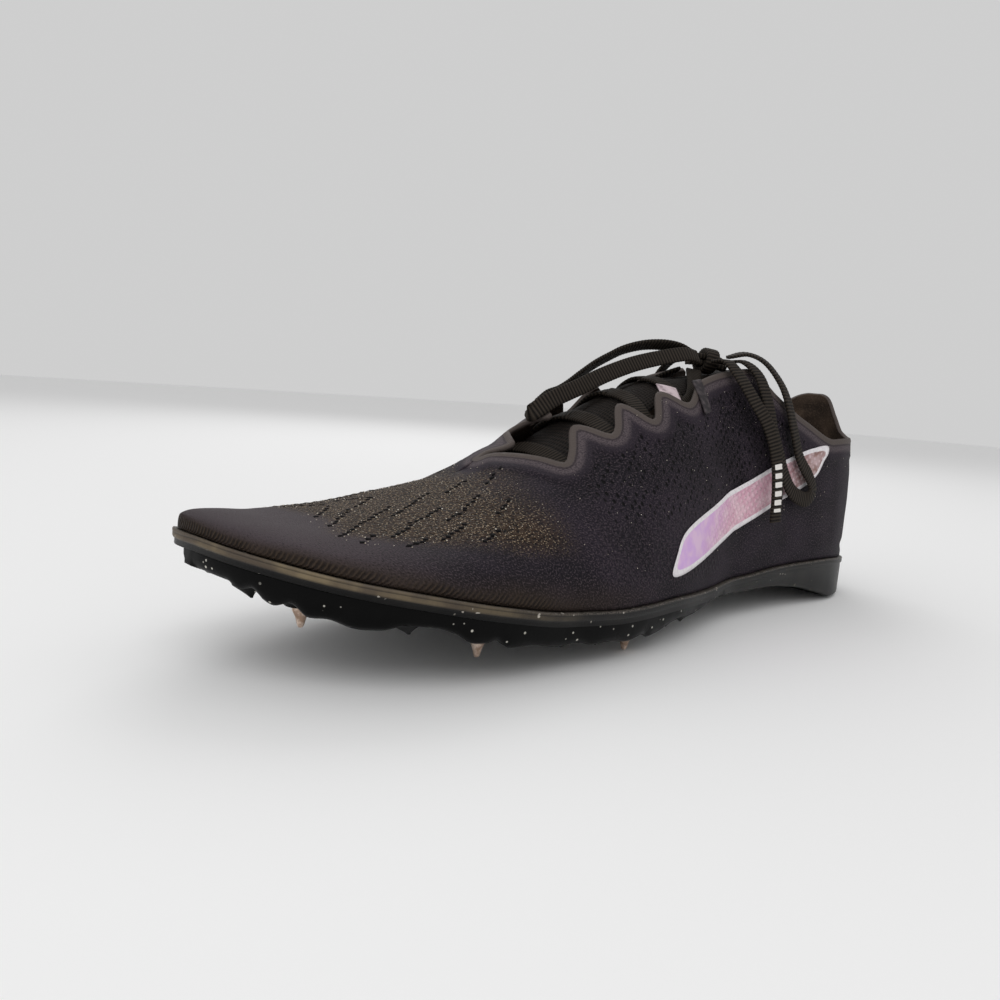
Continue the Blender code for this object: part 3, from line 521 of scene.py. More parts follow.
def plate_look():
    """Injection-moulded plate: glossy black with soft highlights and a few patches of pale specks."""
    made, tree = new_look("glossy moulded PEBA", "#020202", 0.35, Specular_IOR_Level=0.09)
    here = node(tree, PLACE, out="Object")
    cloud = node(tree, NOISE, Vector=here, Scale=170.0, Detail=3.0)
    pale_specks = node(tree, CELLS, out="Distance", Vector=here, Scale=330.0, Randomness=1.0)
    patch = node(tree, NOISE, Vector=here, Scale=90.0, Detail=1.0)
    base = lay(tree, "#010101", "#050505", (cloud, 0.45, 0.75))
    # patches of pale specks
    base = lay(tree, base, "#cfccc2", (pale_specks, 0.09, 0.14, 0.85, 0.0), (patch, 0.40, 0.52))
    rough = node(tree, RANGE, Value=cloud, From_Min=0.3, From_Max=0.7, To_Min=0.26, To_Max=0.50)
    return close_look(made, base, cloud, 0.3, 0.5, rough)


def steel_look():
    """Turned and plated steel, gone dull; its pinkish-beige colour is a painted reflection of warm light.
    """
    made, tree = new_look("dull plated steel", "#c6aa96", 0.42, Metallic=0.75)
    cloud = node(tree, NOISE, Vector=node(tree, PLACE, out="Object"), Scale=620.0, Detail=3.0)
    # painted warm reflection: pinkish-beige, mottled lighter and darker
    base = lay(tree, "#a58a77", "#ead6c6", (cloud, 0.35, 0.70))
    return close_look(made, base, cloud, 0.1, 0.6)


def mesh_cloth_look():
    """Open warp-knit mesh of the tongue: brown-black yarn round black holes."""
    made, tree = new_look("warp-knit polyester mesh", "#0f0e0d", 0.8, Specular_IOR_Level=0.15)
    here = surface_mm(tree)
    holes = node(tree, CELLS, out="Distance", Vector=here, Scale=0.68, Randomness=0.15)
    yarn = node(tree, NOISE, Vector=here, Scale=2.5, Detail=2.0)
    base = lay(tree, "#030303", "#221d1a", (holes, 0.22, 0.50))
    base = lay(tree, base, "#4a4038", (yarn, 0.5, 0.75, 0.0, 0.4))
    high = node(tree, MATH, PLUS_PRODUCT, _0=yarn, _1=0.3, _2=holes)
    return close_look(made, base, high, 0.5, 0.8)


def lace_look():
    """Flat woven polyester lace: black, its cross ribs catching a brown-grey light; the printed
    end carries plain white bars."""
    made, tree = new_look("flat woven polyester lace", "#0e0c0b", 0.7, Specular_IOR_Level=0.12)
    yarn = node(tree, NOISE, Vector=surface_mm(tree), Scale=3.0, Detail=2.0)
    rib, ink = (node(tree, FIELD, {"attribute_name": name}, "Fac") for name in ("rib", "ink"))
    crest = node(tree, MATH, {"operation": "POWER"}, _0=rib, _1=1.3)
    base = lay(tree, "#030202", "#3d362f", crest)
    base = lay(tree, base, "#352e28", (yarn, 0.45, 0.72, 0.0, 0.3))
    base = lay(tree, base, "#e9e5e0", (ink, 0.35, 0.6))
    return close_look(made, base, yarn, 0.18, 0.8)


def badge_look():
    """Foil print with an embossed dot grid: lilac at the front, through pink to a brownish rose."""
    made, tree = new_look("embossed pink foil print", "#c79aa8", 0.42, Metallic=0.15)
    here = surface_mm(tree, 0.5)
    run = node(tree, FIELD, {"attribute_name": "run"}, "Fac")
    cloud = node(tree, NOISE, Vector=here, Scale=0.18, Detail=2.0)
    dot = node(tree, CELLS, out="Distance", Vector=here, Scale=0.46, Randomness=0.1)
    dot = node(tree, RANGE, SOFT, Value=dot, From_Min=0.12, From_Max=0.45, To_Min=1.0, To_Max=0.0)
    fade = node(tree, RANGE, SOFT, Value=run, From_Min=0.15, From_Max=0.40)
    dot = node(tree, MATH, TIMES, _0=dot, _1=fade)
    base = lay(tree, "#d3a9e0", "#d9a6b9", (run, 0.10, 0.50))
    base = lay(tree, base, "#8f6d66", (run, 0.50, 0.95))
    base = lay(tree, base, "#eed5dc", (cloud, 0.40, 0.65, 0.0, 0.45))
    base = lay(tree, base, "#f2dde2", dot, 0.35)
    return close_look(made, base, dot, 0.5, 0.7)


def plain_look(name, colour, roughness, fleck, scale, **sockets):
    """Printed or coated surface with a slight fleck, scale flecks to the metre."""
    made, tree = new_look(name, colour, roughness, **sockets)
    spots = node(tree, NOISE, Vector=node(tree, PLACE, out="Object"), Scale=scale, Detail=2.0)
    return close_look(made, lay(tree, colour, fleck, (spots, 0.40, 0.75)), spots, 0.08, 0.4)


# ---- upper ----

RIB_PARTS = 48            # chords along a rib when its length is measured
RIB_REACH = 1.15          # how far past the ridge it is measured
WALL_STEPS = 46           # facets up the wall below the film
BAND_STEPS = 9            # facets across the film
BAND_WIDE = 0.0092        # the film's width along the opening
ROW_STEP = 0.00125        # between ribs of the wall
MARGIN_MASKS = (99.0,) + (0.0,) * (len(MASKS) - 1)      # far from the opening, no finish
MEDIAL_MAP = 0.5          # the medial side's surface map lies beside the lateral one's

# Folds where the forefoot bends and at the ankle: place at the rim, lean to the heel, depth, half
# width, all in millimetres
Fold = namedtuple("Fold", "place lean deep wide")
FOLDS = (Fold(196, 0.35, 0.55, 7), Fold(212, 0.25, 0.45, 6), Fold(178, 0.55, 0.40, 8),
         Fold(96, -0.35, 0.55, 12), Fold(66, -0.5, 0.45, 10))


@functools.lru_cache(maxsize=None)
def rib_run(walk, side):
    """Height up the rib, from the rim, at even shares of it and a little past the ridge."""
    points = [surface(walk, side, RIB_REACH * i / RIB_PARTS) for i in range(RIB_PARTS + 1)]
    run = [0.0]
    for a, b in zip(points, points[1:]):
        run.append(run[-1] + (b - a).length)
    return run


def height_at(walk, side, rib):
    run = rib_run(walk, side)
    place = min(rib / RIB_REACH * RIB_PARTS, RIB_PARTS - 0.001)
    k = int(place)
    return run[k] + (run[k + 1] - run[k]) * (place - k)


def rib_at(walk, side, height):
    run = rib_run(walk, side)
    k = 0
    while k < RIB_PARTS - 1 and run[k + 1] < height:
        k += 1
    part_way = (height - run[k]) / max(run[k + 1] - run[k], 1e-9)
    return (k + part_way) * RIB_REACH / RIB_PARTS


def edge_tree():
    """Points along the opening's edge, to measure how far a place on the wall is from it."""
    places = []
    for i in range(1400):
        walk = walk_at(THROAT_FRONT * LENGTH) * i / 1399
        places += [surface(walk, side, wall_edge(walk, side)) for side in (LATERAL, MEDIAL)]
    tree = kdtree.KDTree(len(places))
    for i, place in enumerate(places):
        tree.insert(place, i)
    tree.balance()
    return tree


EDGE = edge_tree()


def upper_masks(spot, x, height, gap):
    """Where each finish lies on the wall. spot is the point, x its place along the foot, height its
    height up the wall and gap how far it is from the opening's edge, all in millimetres."""
    wobble = noise.noise(spot * 0.045)
    rough_x = x + 7 * wobble
    film = blend((206 - x) / 8)
    bare = blend((rough_x - 190) / 18) * blend((256 - rough_x) / 11)
    bare *= blend((height - 14 + 3 * wobble) / 9) * (1 - film * blend((9.5 - gap) / 2))
    holes = blend((x - 50) / 20) * blend((186 - rough_x) / 12) * blend((height - 20) / 6)
    holes *= blend((gap - 6.5) / 2)
    dots = blend((x - 112) / 14) * blend((192 - rough_x) / 10)
    dots *= blend((height - 4) / 3) * blend((26 - height) / 5)
    knurl = blend((x - 182) / 40) * blend((3.9 + 1.6 * wobble - height) / 1.8) * blend((height - 0.1) / 0.5)
    knurl = min(max(knurl * (0.75 + 0.8 * noise.noise(spot * 0.16)), 0.0), 1.0)
    # toe: where the paler toe tone lies, partly painted sheen
    toe = blend((x - 222) / 42)
    dirt = blend((x - 150) / 70) * blend((9 + 5 * wobble - height) / 9)
    return gap, film, bare, holes, dots, knurl, toe, dirt


def wall_relief(spot, x, height, gap):
    """How far the wall stands out of the last, in millimetres: film, soft waves and folds."""
    rise = BAND_STEP / MM * blend((8.6 - gap) / 1.2) * (1 - blend((x / LENGTH * MM - THROAT_FRONT) / 0.03))
    lip = 0.22 * bump_at(gap, 1.1, 1.4) * (1 - blend((x - 186) / 6))
    wave = 0.40 * noise.noise(spot * 0.035) + 0.15 * noise.noise(spot * 0.11)
    calm = blend((gap - 1) / 6) * blend(height / 6)
    fold = 0.0
    for crease in FOLDS:
        line = crease.place - crease.lean * height
        fold -= crease.deep * bump_at(x, line, crease.wide) * blend((height - 6) / 10)
    pinch = -0.9 * bump_at(height, 4.5, 3.5) * blend((34 - x) / 22)
    return rise + lip + (wave + fold) * calm + pinch


def wall_skin(walk, side, rib, lift=0.0):
    """Point of the dressed wall at a share of the rib, lifted off it, and its finish values."""
    x = station(walk)[0] / MM
    height = height_at(walk, side, rib) / MM
    here = surface(walk, side, rib)
    gap = EDGE.find(here)[2] / MM
    spot = here / MM
    out = wall_relief(spot, x, height, gap) * MM + lift
    return skin(walk, side, rib, -out), upper_masks(spot, x, height, gap)


def upper_rib(walk, side):
    """One fine rib of the wall: its points, its place in the surface map and its finish values."""
    edge = wall_edge(walk, side)
    top = height_at(walk, side, edge)
    band = min(BAND_WIDE, top * 0.4)
    heights = [(top - band) * i / WALL_STEPS for i in range(WALL_STEPS)]
    heights += [top - band + band * i / BAND_STEPS for i in range(BAND_STEPS + 1)]
    rows = []
    for inset in (MARGIN, MARGIN * 0.5):
        plan = outline(walk, side, inset)
        rows.append((Vector((plan.x, plan.y, rim_height(plan.x))), (walk, -inset), MARGIN_MASKS))
    for height in heights:
        rib = edge if height == heights[-1] else min(rib_at(walk, side, height), edge)
        place, masks = wall_skin(walk, side, rib)
        rows.append((place, (walk + (0.0 if side == LATERAL else MEDIAL_MAP), height), masks))
    return rows


def build_upper(film, lining):
    """Hollow wall, open at collar, throat and underneath, with the film's step along its edge."""
    stops = spread(0.0, WALK, round(WALK / ROW_STEP))
    rows = [upper_rib(stop, LATERAL) for stop in reversed(stops)]
    rows += [upper_rib(stop, MEDIAL) for stop in stops[1:]]
    flat = [entry for row in rows for entry in row]
    values = {name: [entry[2][k] for entry in flat] for k, name in enumerate(MASKS)}
    made = mesh_object("upper_wall", [entry[0] for entry in flat], sheet_faces(len(rows), len(rows[0])),
                       (film, lining), [entry[1] for entry in flat], values)
    thicken(made, WALL, use_even_offset=True, material_offset=1, material_offset_rim=0)
    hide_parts("upper")


# ---- prints and marks on the wall ----

# Plain badge: a slanted bar with rounded corners, in millimetres. Its middle lies at a place along
# the foot and a height up the wall; rise is how far its rear end stands over its front end.
BADGE_MIDDLE = (101.0, 25.0)
BADGE_HALF = (51.0, 8.6)
BADGE_RISE = 13.0
BADGE_LEAN = -6.0         # how far its top edge is pushed to the heel
BADGE_BORDER = 1.9
BADGE_SQUARE = 5.0        # power that squares its corners off
BADGE_AROUND = 180
BADGE_THICK = 0.12 * MM
BADGE_LIFT = 0.16 * MM    # its face over the wall


def badge_ring(shrink, scale):
    """Ring of the bar's outline, shrink inside it and then scaled about its middle."""
    ring = []
    for k in range(BADGE_AROUND):
        turn = 2 * math.pi * k / BADGE_AROUND
        along = math.copysign(abs(math.cos(turn)) ** (2 / BADGE_SQUARE), math.cos(turn))
        across = math.copysign(abs(math.sin(turn)) ** (2 / BADGE_SQUARE), math.sin(turn))
        along *= (BADGE_HALF[0] - shrink) * scale
        across *= (BADGE_HALF[1] - shrink) * scale
        x = BADGE_MIDDLE[0] + along + BADGE_LEAN * across / BADGE_HALF[1]
        height = BADGE_MIDDLE[1] + across - BADGE_RISE * along / BADGE_HALF[0]
        ring.append((x, height, 0.5 - along / BADGE_HALF[0] / 2))
    return ring


def build_badge(fill, border):
    """Foil print on the lateral wall: fill and border on one thin sheet."""
    rings = [badge_ring(BADGE_BORDER, i / 16 + 0.001) for i in range(17)]
    rings += [badge_ring(BADGE_BORDER * (1 - t), 1.0) for t in (0.12, 0.5, 1.0)]
    points, uv, run = [], [], []
    for ring in rings:
        for x, height, share in ring:
            walk = walk_at(x * MM)
            place, _ = wall_skin(walk, LATERAL, rib_at(walk, LATERAL, height * MM), BADGE_LIFT)
            points.append(place)
            uv.append((x * MM, height * MM))
            run.append(share)
    faces = [face[::-1] for face in sleeve_faces(len(rings), BADGE_AROUND, capped=False)]
    faces.append(tuple(range(BADGE_AROUND)))
    picks = [0 if r < 16 else 1 for r in range(len(rings) - 1) for _ in range(BADGE_AROUND)] + [0]
    made = mesh_object("side_badge", points, faces, (fill, border), uv, {"run": run}, merge=False)
    made.data.polygons.foreach_set("material_index", picks)
    thicken(made, BADGE_THICK)


# Slots in the vamp's knit, each a broken line of dark threads with pale beads beside it that are painted
# highlights: from and to, as the place along the foot in millimetres and the share of the rib
Slit = namedtuple("Slit", "x0 rib0 x1 rib1")
SLITS = (
    Slit(253, 0.57, 244, 0.71), Slit(251, 0.72, 238, 0.92), Slit(250, 0.86, 240, 0.99),
    Slit(244, 0.72, 228, 0.86), Slit(236, 0.92, 226, 1.00), Slit(250, 0.49, 243, 0.60),
    Slit(241, 0.56, 231, 0.66), Slit(232, 0.67, 218, 0.75), Slit(233, 0.76, 214, 0.90),
    Slit(240, 0.46, 232, 0.53), Slit(230, 0.50, 218, 0.60), Slit(222, 0.64, 213, 0.70),
    Slit(214, 0.70, 204, 0.77), Slit(211, 0.85, 201, 0.90), Slit(220, 0.45, 211, 0.52),
    Slit(199, 0.82, 191, 0.86), Slit(207, 0.62, 199, 0.68),
)
DASH = 0.0022             # a thread's length
DASH_GAP = 0.0001         # and the gap to the next


def seed(points, faces, middle, along, across, up):
    """Small closed pod with eight faces, given by its half axes."""
    first = len(points)
    points += [middle - along, middle + across, middle + along, middle - across, middle + up, middle - up]
    for a, b in ((0, 1), (1, 2), (2, 3), (3, 0)):
        faces.append((first + b, first + a, first + 4))
        faces.append((first + a, first + b, first + 5))


def build_slits(thread, glint_bead):
    """Dark threads of the vamp's slots, and pale beads beside them as painted highlights, on both sides of
    the ridge.
    """
    dark, dark_faces, pale, pale_faces = [], [], [], []
    for side in (LATERAL, MEDIAL):
        for slit in SLITS:
            start = surface(walk_at(slit.x0 * MM), side, slit.rib0)
            end = surface(walk_at(slit.x1 * MM), side, slit.rib1)
            count = max(2, round((end - start).length / (DASH + DASH_GAP)))
            for k in range(count):
                t = (k + 0.5 + random.uniform(-0.12, 0.12)) / count
                x = (slit.x0 + (slit.x1 - slit.x0) * t + random.uniform(-0.35, 0.35)) * MM
                rib = slit.rib0 + (slit.rib1 - slit.rib0) * t + random.uniform(-0.004, 0.004)
                here, _ = wall_skin(walk_at(x), side, rib, 0.02 * MM)
                there, _ = wall_skin(walk_at(x + (slit.x1 - slit.x0) * MM * 0.1), side,
                                     rib + (slit.rib1 - slit.rib0) * 0.1, 0.02 * MM)
                lifted, _ = wall_skin(walk_at(x), side, rib, 1.0 * MM)
                along = (there - here).normalized()
                up = (lifted - here).normalized()
                across = up.cross(along).normalized()
                wide = random.uniform(0.65, 0.98) * MM
                seed(dark, dark_faces, here, along * DASH * random.uniform(0.42, 0.62), across * wide,
                     up * 0.18 * MM)
                # painted highlight: a pale bead beside the thread, on the slot's edge
                if random.random() < 0.8:
                    off = across * random.choice((-1, 1)) * random.uniform(0.7, 1.1) * MM
                    size = random.uniform(0.16, 0.34) * MM
                    seed(pale, pale_faces, here + off + up * 0.08 * MM,
                         along * size, across * size, up * size * 0.7)
    mesh_object("vamp_threads", dark, dark_faces, (thread,), merge=False)
    mesh_object("vamp_slit_highlights", pale, pale_faces, (glint_bead,), merge=False)


# Areas of grains, on both sides: how many, between which places in millimetres and shares of the rib
Area = namedtuple("Area", "count x0 x1 rib0 rib1")
FLECKS = (Area(300, 192, 254, 0.46, 0.99), Area(190, 60, 190, 0.10, 0.66), Area(60, 10, 60, 0.05, 0.30))


def build_flecks(glint_bead):
    """Grains that catch the light, scattered over the vamp's mesh and sparsely over the side."""
    points, faces = [], []
    for area in FLECKS:
        for _ in range(area.count):
            walk = walk_at(random.uniform(area.x0, area.x1) * MM)
            side = random.choice((LATERAL, MEDIAL))
            rib = random.uniform(area.rib0, area.rib1)
            if rib > wall_edge(walk, side) - 0.03:
                continue
            here, _ = wall_skin(walk, side, rib, 0.05 * MM)
            size = random.uniform(0.09, 0.20) * MM
            seed(points, faces, here, Vector((size, 0, 0)), Vector((0, size, 0)), Vector((0, 0, size)))
    mesh_object("light_flecks", points, faces, (glint_bead,), merge=False)


def wall_patch(name, corners, lift, thick, look):
    """Thin closed tab on the lateral wall between four (x in millimetres, rib) corners, in order."""
    steps = 12
    points, uv = [], []
    a, b, c, d = (Vector(corner) for corner in corners)
    for i in range(steps + 1):
        for k in range(steps + 1):
            spot = a.lerp(b, k / steps).lerp(d.lerp(c, k / steps), i / steps)
            walk = walk_at(spot.x * MM)
            points.append(skin(walk, LATERAL, spot.y, -lift))
            uv.append((k / steps * (b - a).length * MM, i / steps * 0.01))
    faces = [face[::-1] for face in sheet_faces(steps + 1, steps + 1)]
    made = mesh_object(name, points, faces, (look,), uv)
    thicken(made, thick)


# ---- sole ----

def build_midsole(look):
    """Foam from heel to toe: a rim band with a lip and a groove, a heel wedge, a hollow arch."""
    def under(x):
        """Height of the underside: the band's foot, and the wedge and arch behind the plate."""
        foot = rim_height(x) - RIM_BAND
        if x / LENGTH >= PLATE_FROM:
            return foot
        return min(foot, RIM_HEIGHT * smooth(UNDERSIDE, "floor", x / LENGTH))

    # The rim band's profile and the bevel under it. inset is from the outline, drop from the rim or
    # else lift from the underside; pale and line are shares of the skin's and the top line's colour.
    Edge = namedtuple("Edge", "inset drop lift pale line")
    lip, band, bevel = RIM_LIP, RIM_BAND, SOLE_BEVEL
    profile = [
        Edge(0.0060, SEAM_GAP, None, 0, 0), Edge(-0.0004, SEAM_GAP, None, 0.3, 1),
        Edge(-lip * 0.85, SEAM_GAP * 1.2, None, 0.9, 1), Edge(-lip, SEAM_GAP * 2.2, None, 1, 0.8),
        Edge(-lip, band * 0.22, None, 0.9, 0), Edge(-lip * 0.82, band * 0.27, None, 0.45, 0),
        Edge(-lip * 0.97, band * 0.32, None, 1, 0), Edge(-lip * 0.97, band * 0.50, None, 1, 0),
        Edge(-lip * 0.85, band * 0.58, None, 0.5, 0), Edge(-lip * 0.55, band * 0.64, None, 0, 0),
        Edge(-lip * 0.6, band * 0.97, None, 0, 0), Edge(-lip * 0.5, None, bevel * 0.75, 0, 0),
        Edge(bevel * 0.2, None, bevel * 0.3, 0, 0), Edge(bevel * 0.8, None, bevel * 0.06, 0, 0),
        Edge(bevel * 1.8, None, 0.0, 0, 0), Edge(0.012, None, 0.0, 0, 0),
    ]
    stops = spread(0.0, WALK, round(WALK / SOLE_STEP))
    points, uv, pale, line = [], [], [], []
    for stop in stops:
        for side, steps in ((LATERAL, profile), (MEDIAL, profile[::-1])):
            for step in steps:
                inset = step.inset
                if inset > 0.004:
                    inset = min(inset, abs(plan_point(stop, side)[1]) * 0.9)
                x, y = outline(stop, side, inset)
                z = under(x) + step.lift if step.drop is None else rim_height(x) - step.drop
                points.append(Vector((x, y, z)))
                uv.append((x, z))
                fade = blend((x - 0.180) / 0.075)
                pale.append(step.pale * fade)
                line.append(step.line * (1 - 0.6 * fade))
    made = mesh_object("midsole_foam", points, sleeve_faces(len(stops), 2 * len(profile), capped=False),
                       (look,), uv, {"pale": pale, "line": line})
    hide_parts("midsole")


# ---- spike plate ----

PLATE_THICK = 0.0038
PLATE_RUNOUT = 0.070      # share of the length over which it thickens from its rear end
PLATE_TIP = 0.004         # how far it stops short of the toe
PLATE_STEPS = 210
PLATE_INSET = 0.0016      # how far it lies inside the foam's outline
TOOTH_HEIGHT = 0.0036
TOOTH_LENGTH = 0.0112
TOOTH_WIDTH = 0.0086
TOOTH_TIP = 0.00035       # radius left at its point
TOOTH_RAKE = 0.00108      # how far the point lies behind its foot
TOOTH_PITCH = 0.0128
FOOT_OUT = 0.0004         # teeth and bosses start wider, and this far up inside the slab
FOOT_UP = 0.0006
BOSS_HEIGHT = 0.0022
BOSS_RADIUS = 0.0064
BOSS_TIP_RADIUS = 0.0042
# The pins: side, share of the length, and how far inside the plate's edge
Pin = namedtuple("Pin", "side share inset")
PINS = (
    Pin(LATERAL, 0.955, 0.0105), Pin(LATERAL, 0.788, 0.0105), Pin(LATERAL, 0.588, 0.0072),
    Pin(MEDIAL, 0.885, 0.0105), Pin(MEDIAL, 0.788, 0.0105), Pin(MEDIAL, 0.588, 0.0105),
)


# How far the plate's side hangs under its slab, by the walk along its edge, in millimetres: hollows
# between the teeth and the flared seats of the pins
Skirt = namedtuple("Skirt", "x deep")
SKIRT = [Skirt(walk * MM, deep * MM) for walk, deep in (
    (168, 0), (174, 1.2), (179, 2.6), (184, 3.2), (188, 1.9), (194, 2.8), (203, 1.8), (209, 2.2),
    (215, 1.4), (222, 2.1), (230, 1.7), (240, 2.7), (244, 1.2), (247, 2.2), (251, 2.6), (256, 0.9),
    (261, 0.1), (270, 0.8), (277, 2.9), (284, 3.6), (291, 2.7), (297, 3.4), (302, 1.2), (308, 2.8),
    (311, 2.2), (315, 0.2), (321, 1.4), (325, 0.2), (349, 0),
)]


def plate_top(x):
    return rim_height(x) - RIM_BAND - SEAM_GAP


def plate_bottom(x):
    share = (x / LENGTH - PLATE_FROM) / PLATE_RUNOUT
    return plate_top(x) - PLATE_THICK * (0.35 + 0.65 * blend(share))


def pin_places():
    return [outline(walk_at(pin.share * LENGTH), pin.side, PLATE_INSET + pin.inset) for pin in PINS]


def tooth_places():
    """Teeth in a row along each edge and two rows between, clear of the pins' bosses."""
    pins = pin_places()
    start = walk_at((PLATE_FROM + PLATE_RUNOUT) * LENGTH)
    end = WALK - TOOTH_LENGTH
    places = []
    for row in range(4):
        for i in range(int((end - start) / TOOTH_PITCH) + 1):
            walk = start + TOOTH_PITCH * i + (TOOTH_PITCH / 2 if row % 2 else 0.0)
            if walk > end:
                continue
            left = outline(walk, LATERAL, PLATE_INSET + TOOTH_WIDTH * 0.62)
            right = outline(walk, MEDIAL, PLATE_INSET + TOOTH_WIDTH * 0.62)
            if (left - right).length < TOOTH_LENGTH * 3.3 and row in (1, 2):
                continue
            place = left.lerp(right, row / 3)
            if min((place - pin).length for pin in pins) < BOSS_RADIUS + TOOTH_LENGTH * 0.55:
                continue
            if any((place - other).length < TOOTH_LENGTH * 1.02 for other in places):
                continue
            places.append(place)
    return places


def turned(points, faces, centre, profile, sides, rake=0.0, squash=1.0):
    """Closed solid turned about an upright axis from (radius, drop) pairs, its low end raked back."""
    first = len(points)
    deepest = profile[-1][1]
    for radius, drop in profile:
        back = rake * max(drop / deepest, 0.0) ** 1.5
        for k in range(sides):
            turn = 2 * math.pi * k / sides
            out = Vector((radius * math.cos(turn) - back, radius * math.sin(turn) * squash, -drop))
            points.append(centre + out)
    for face in sleeve_faces(len(profile), sides):
        faces.append(tuple(first + i for i in reversed(face)))


def build_plate(look):
    """Moulded plate: a slab with softened edges, hollow-sided teeth and a flared boss at each pin."""
    rear = walk_at(PLATE_FROM * LENGTH)
    stops = spread(rear, WALK - PLATE_TIP, PLATE_STEPS)
    # inset, depth as a share of the slab's, and how much of the skirt it hangs down
    edge = ((0.012, 0, 0), (0, 0, 0), (-0.0001, 0.001, 0), (-0.0001, 0.45, 0.2), (0.0002, 0.75, 0.6),
            (0.0008, 0.92, 0.9), (0.0018, 1, 1), (0.0032, 1, 0.95), (0.0050, 1, 0.25), (0.0065, 1, 0),
            (0.012, 1, 0))
    points, uv = [], []
    for stop in stops:
        ring = []
        half = abs(plan_point(stop, LATERAL)[1] - plan_point(stop, MEDIAL)[1]) / 2
        for side, steps in ((LATERAL, edge), (MEDIAL, edge[::-1])):
            for inset, depth, hang in steps:
                plan = outline(stop, side, min(PLATE_INSET + inset, half * 0.8))
                top, low = plate_top(plan.x), plate_bottom(plan.x)
                low -= smooth(SKIRT, "deep", stop) * hang
                ring.append(Vector((plan.x, plan.y, top + (low - top) * depth)))
        points += ring
        uv += [(p.x, p.y) for p in ring]
    faces = sleeve_faces(len(stops), 2 * len(edge))
    for place in tooth_places():
        base = Vector((place.x, place.y, plate_bottom(place.x)))
        half = TOOTH_LENGTH / 2 * (1 - 0.35 * blend((place.x - 0.235) / 0.025))
        profile = [(half + FOOT_OUT, -FOOT_UP)]
        profile += [(half * (1 - t) ** 1.25 + TOOTH_TIP, TOOTH_HEIGHT * t)
                    for t in (0.0, 0.15, 0.3, 0.5, 0.7, 0.88, 1.0)]
        turned(points, faces, base, profile, 12, TOOTH_RAKE, TOOTH_WIDTH / TOOTH_LENGTH)
    for place in pin_places():
        base = Vector((place.x, place.y, plate_bottom(place.x)))
        profile = [(BOSS_RADIUS + FOOT_OUT, -FOOT_UP)]
        profile += [(BOSS_TIP_RADIUS + (BOSS_RADIUS - BOSS_TIP_RADIUS) * (1 - t) ** 2.2, BOSS_HEIGHT * t)
                    for t in (0.0, 0.2, 0.4, 0.6, 0.8, 0.94)]
        turned(points, faces, base, profile + [(BOSS_TIP_RADIUS - 0.0003, BOSS_HEIGHT)], 28)
    uv += [(p.x, p.y) for p in points[len(uv):]]
    made = mesh_object("moulded_plate", points, faces, (look,), uv, merge=False)
    made.data.set_sharp_from_angle(angle=math.radians(50))
    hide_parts("spike_plate")


# A pin from its seat to its tip: radius in metres and share of its length
Turn = namedtuple("Turn", "radius share")
PIN_TURNS = (
    Turn(0.0020, 0.0), Turn(0.0023, 0.03), Turn(0.0022, 0.20), Turn(0.0018, 0.33), Turn(0.0014, 0.50),
    Turn(0.0011, 0.70), Turn(0.00085, 0.88), Turn(0.00055, 0.97), Turn(0.00015, 1.0),
)


def build_pins(look):
    """Turned steel pins screwed into the bosses: a disc drawn down to a shank and a worn tip."""
    bpy.ops.mesh.primitive_circle_add(vertices=20, radius=PIN_TURNS[0].radius, fill_type="NGON")
    pattern = bpy.context.active_object
    bpy.ops.object.mode_set(mode="EDIT")
    bpy.ops.mesh.select_all(action="SELECT")
    for above, below in zip(PIN_TURNS, PIN_TURNS[1:]):
        narrow = below.radius / above.radius
        down = (0.0, 0.0, above.share - below.share)
        bpy.ops.mesh.extrude_region_move(TRANSFORM_OT_translate={"value": down})
        bpy.ops.transform.resize(value=(narrow, narrow, 1.0), center_override=(0.0, 0.0, 0.0))
    bpy.ops.mesh.select_all(action="SELECT")
    bpy.ops.mesh.normals_make_consistent(inside=False)
    bpy.ops.object.mode_set(mode="OBJECT")
    for number in range(1, 7):
        name = "spike_%d" % number
        low, high = (Vector(corner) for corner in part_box(name))
        mesh = pattern.data.copy()
        for vertex in mesh.vertices:
            vertex.co = Vector(((low.x + high.x) / 2 + vertex.co.x, (low.y + high.y) / 2 + vertex.co.y,
                                high.z + vertex.co.z * (high.z - low.z)))
        mesh.materials.append(look)
        mesh.shade_smooth()
        mesh.set_sharp_from_angle(angle=math.radians(40))
        made = bpy.data.objects.new("pin_%d" % number, mesh)
        bpy.context.scene.collection.objects.link(made)
        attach(made, "root")
        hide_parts(name)
    bpy.data.objects.remove(pattern)


# ---- throat: tongue and lace ----

TONGUE_THICK = 0.0030
TONGUE_HALF = 0.028       # half its width
TONGUE_TOP = 0.285        # its two ends, as shares of the length
TONGUE_TIP = 0.735
THROAT_SAG = 0.0034       # how far the tongue and lace sink in the open throat, and at the instep
INSTEP_SAG = 0.0008
LACE_WIDTH = 0.0056
LACE_THICK = 0.0012
LACE_CLEAR = 0.0010       # gap between the wall and the lace
KNOT_HALF = 0.0046        # half of the knot's height
KNOT_SHARE = 0.335        # the knot's place along the foot, and how far it lies to the lateral side
KNOT_SIDE = 0.002
BARS = (0.664, 0.630, 0.568, 0.510, 0.446)    # where the lace crosses, as shares of the length
CROSSING_END = -1 if len(BARS) % 2 else 1     # side on which the last bar ends
BAR_HIDE = 0.37           # where it dives under the film, as a share of the rib from the ridge
BAR_TURN = 0.045          # and how much farther it turns
# From the last bar to the knot: share of the length, share of the rib from the ridge, lift
TAIL = ((0.425, 0.375, 0.0), (0.405, 0.330, 0.0), (0.388, 0.255, 0.0), (0.376, 0.180, 0.0006),
        (0.366, 0.110, 0.0016))
LACE_DEPTH = WALL + LACE_CLEAR + LACE_THICK / 2
TONGUE_DEPTH = WALL + LACE_CLEAR + LACE_THICK + 2 * SEAM_GAP
RIB_PITCH = 0.00125       # between the lace's cross ribs


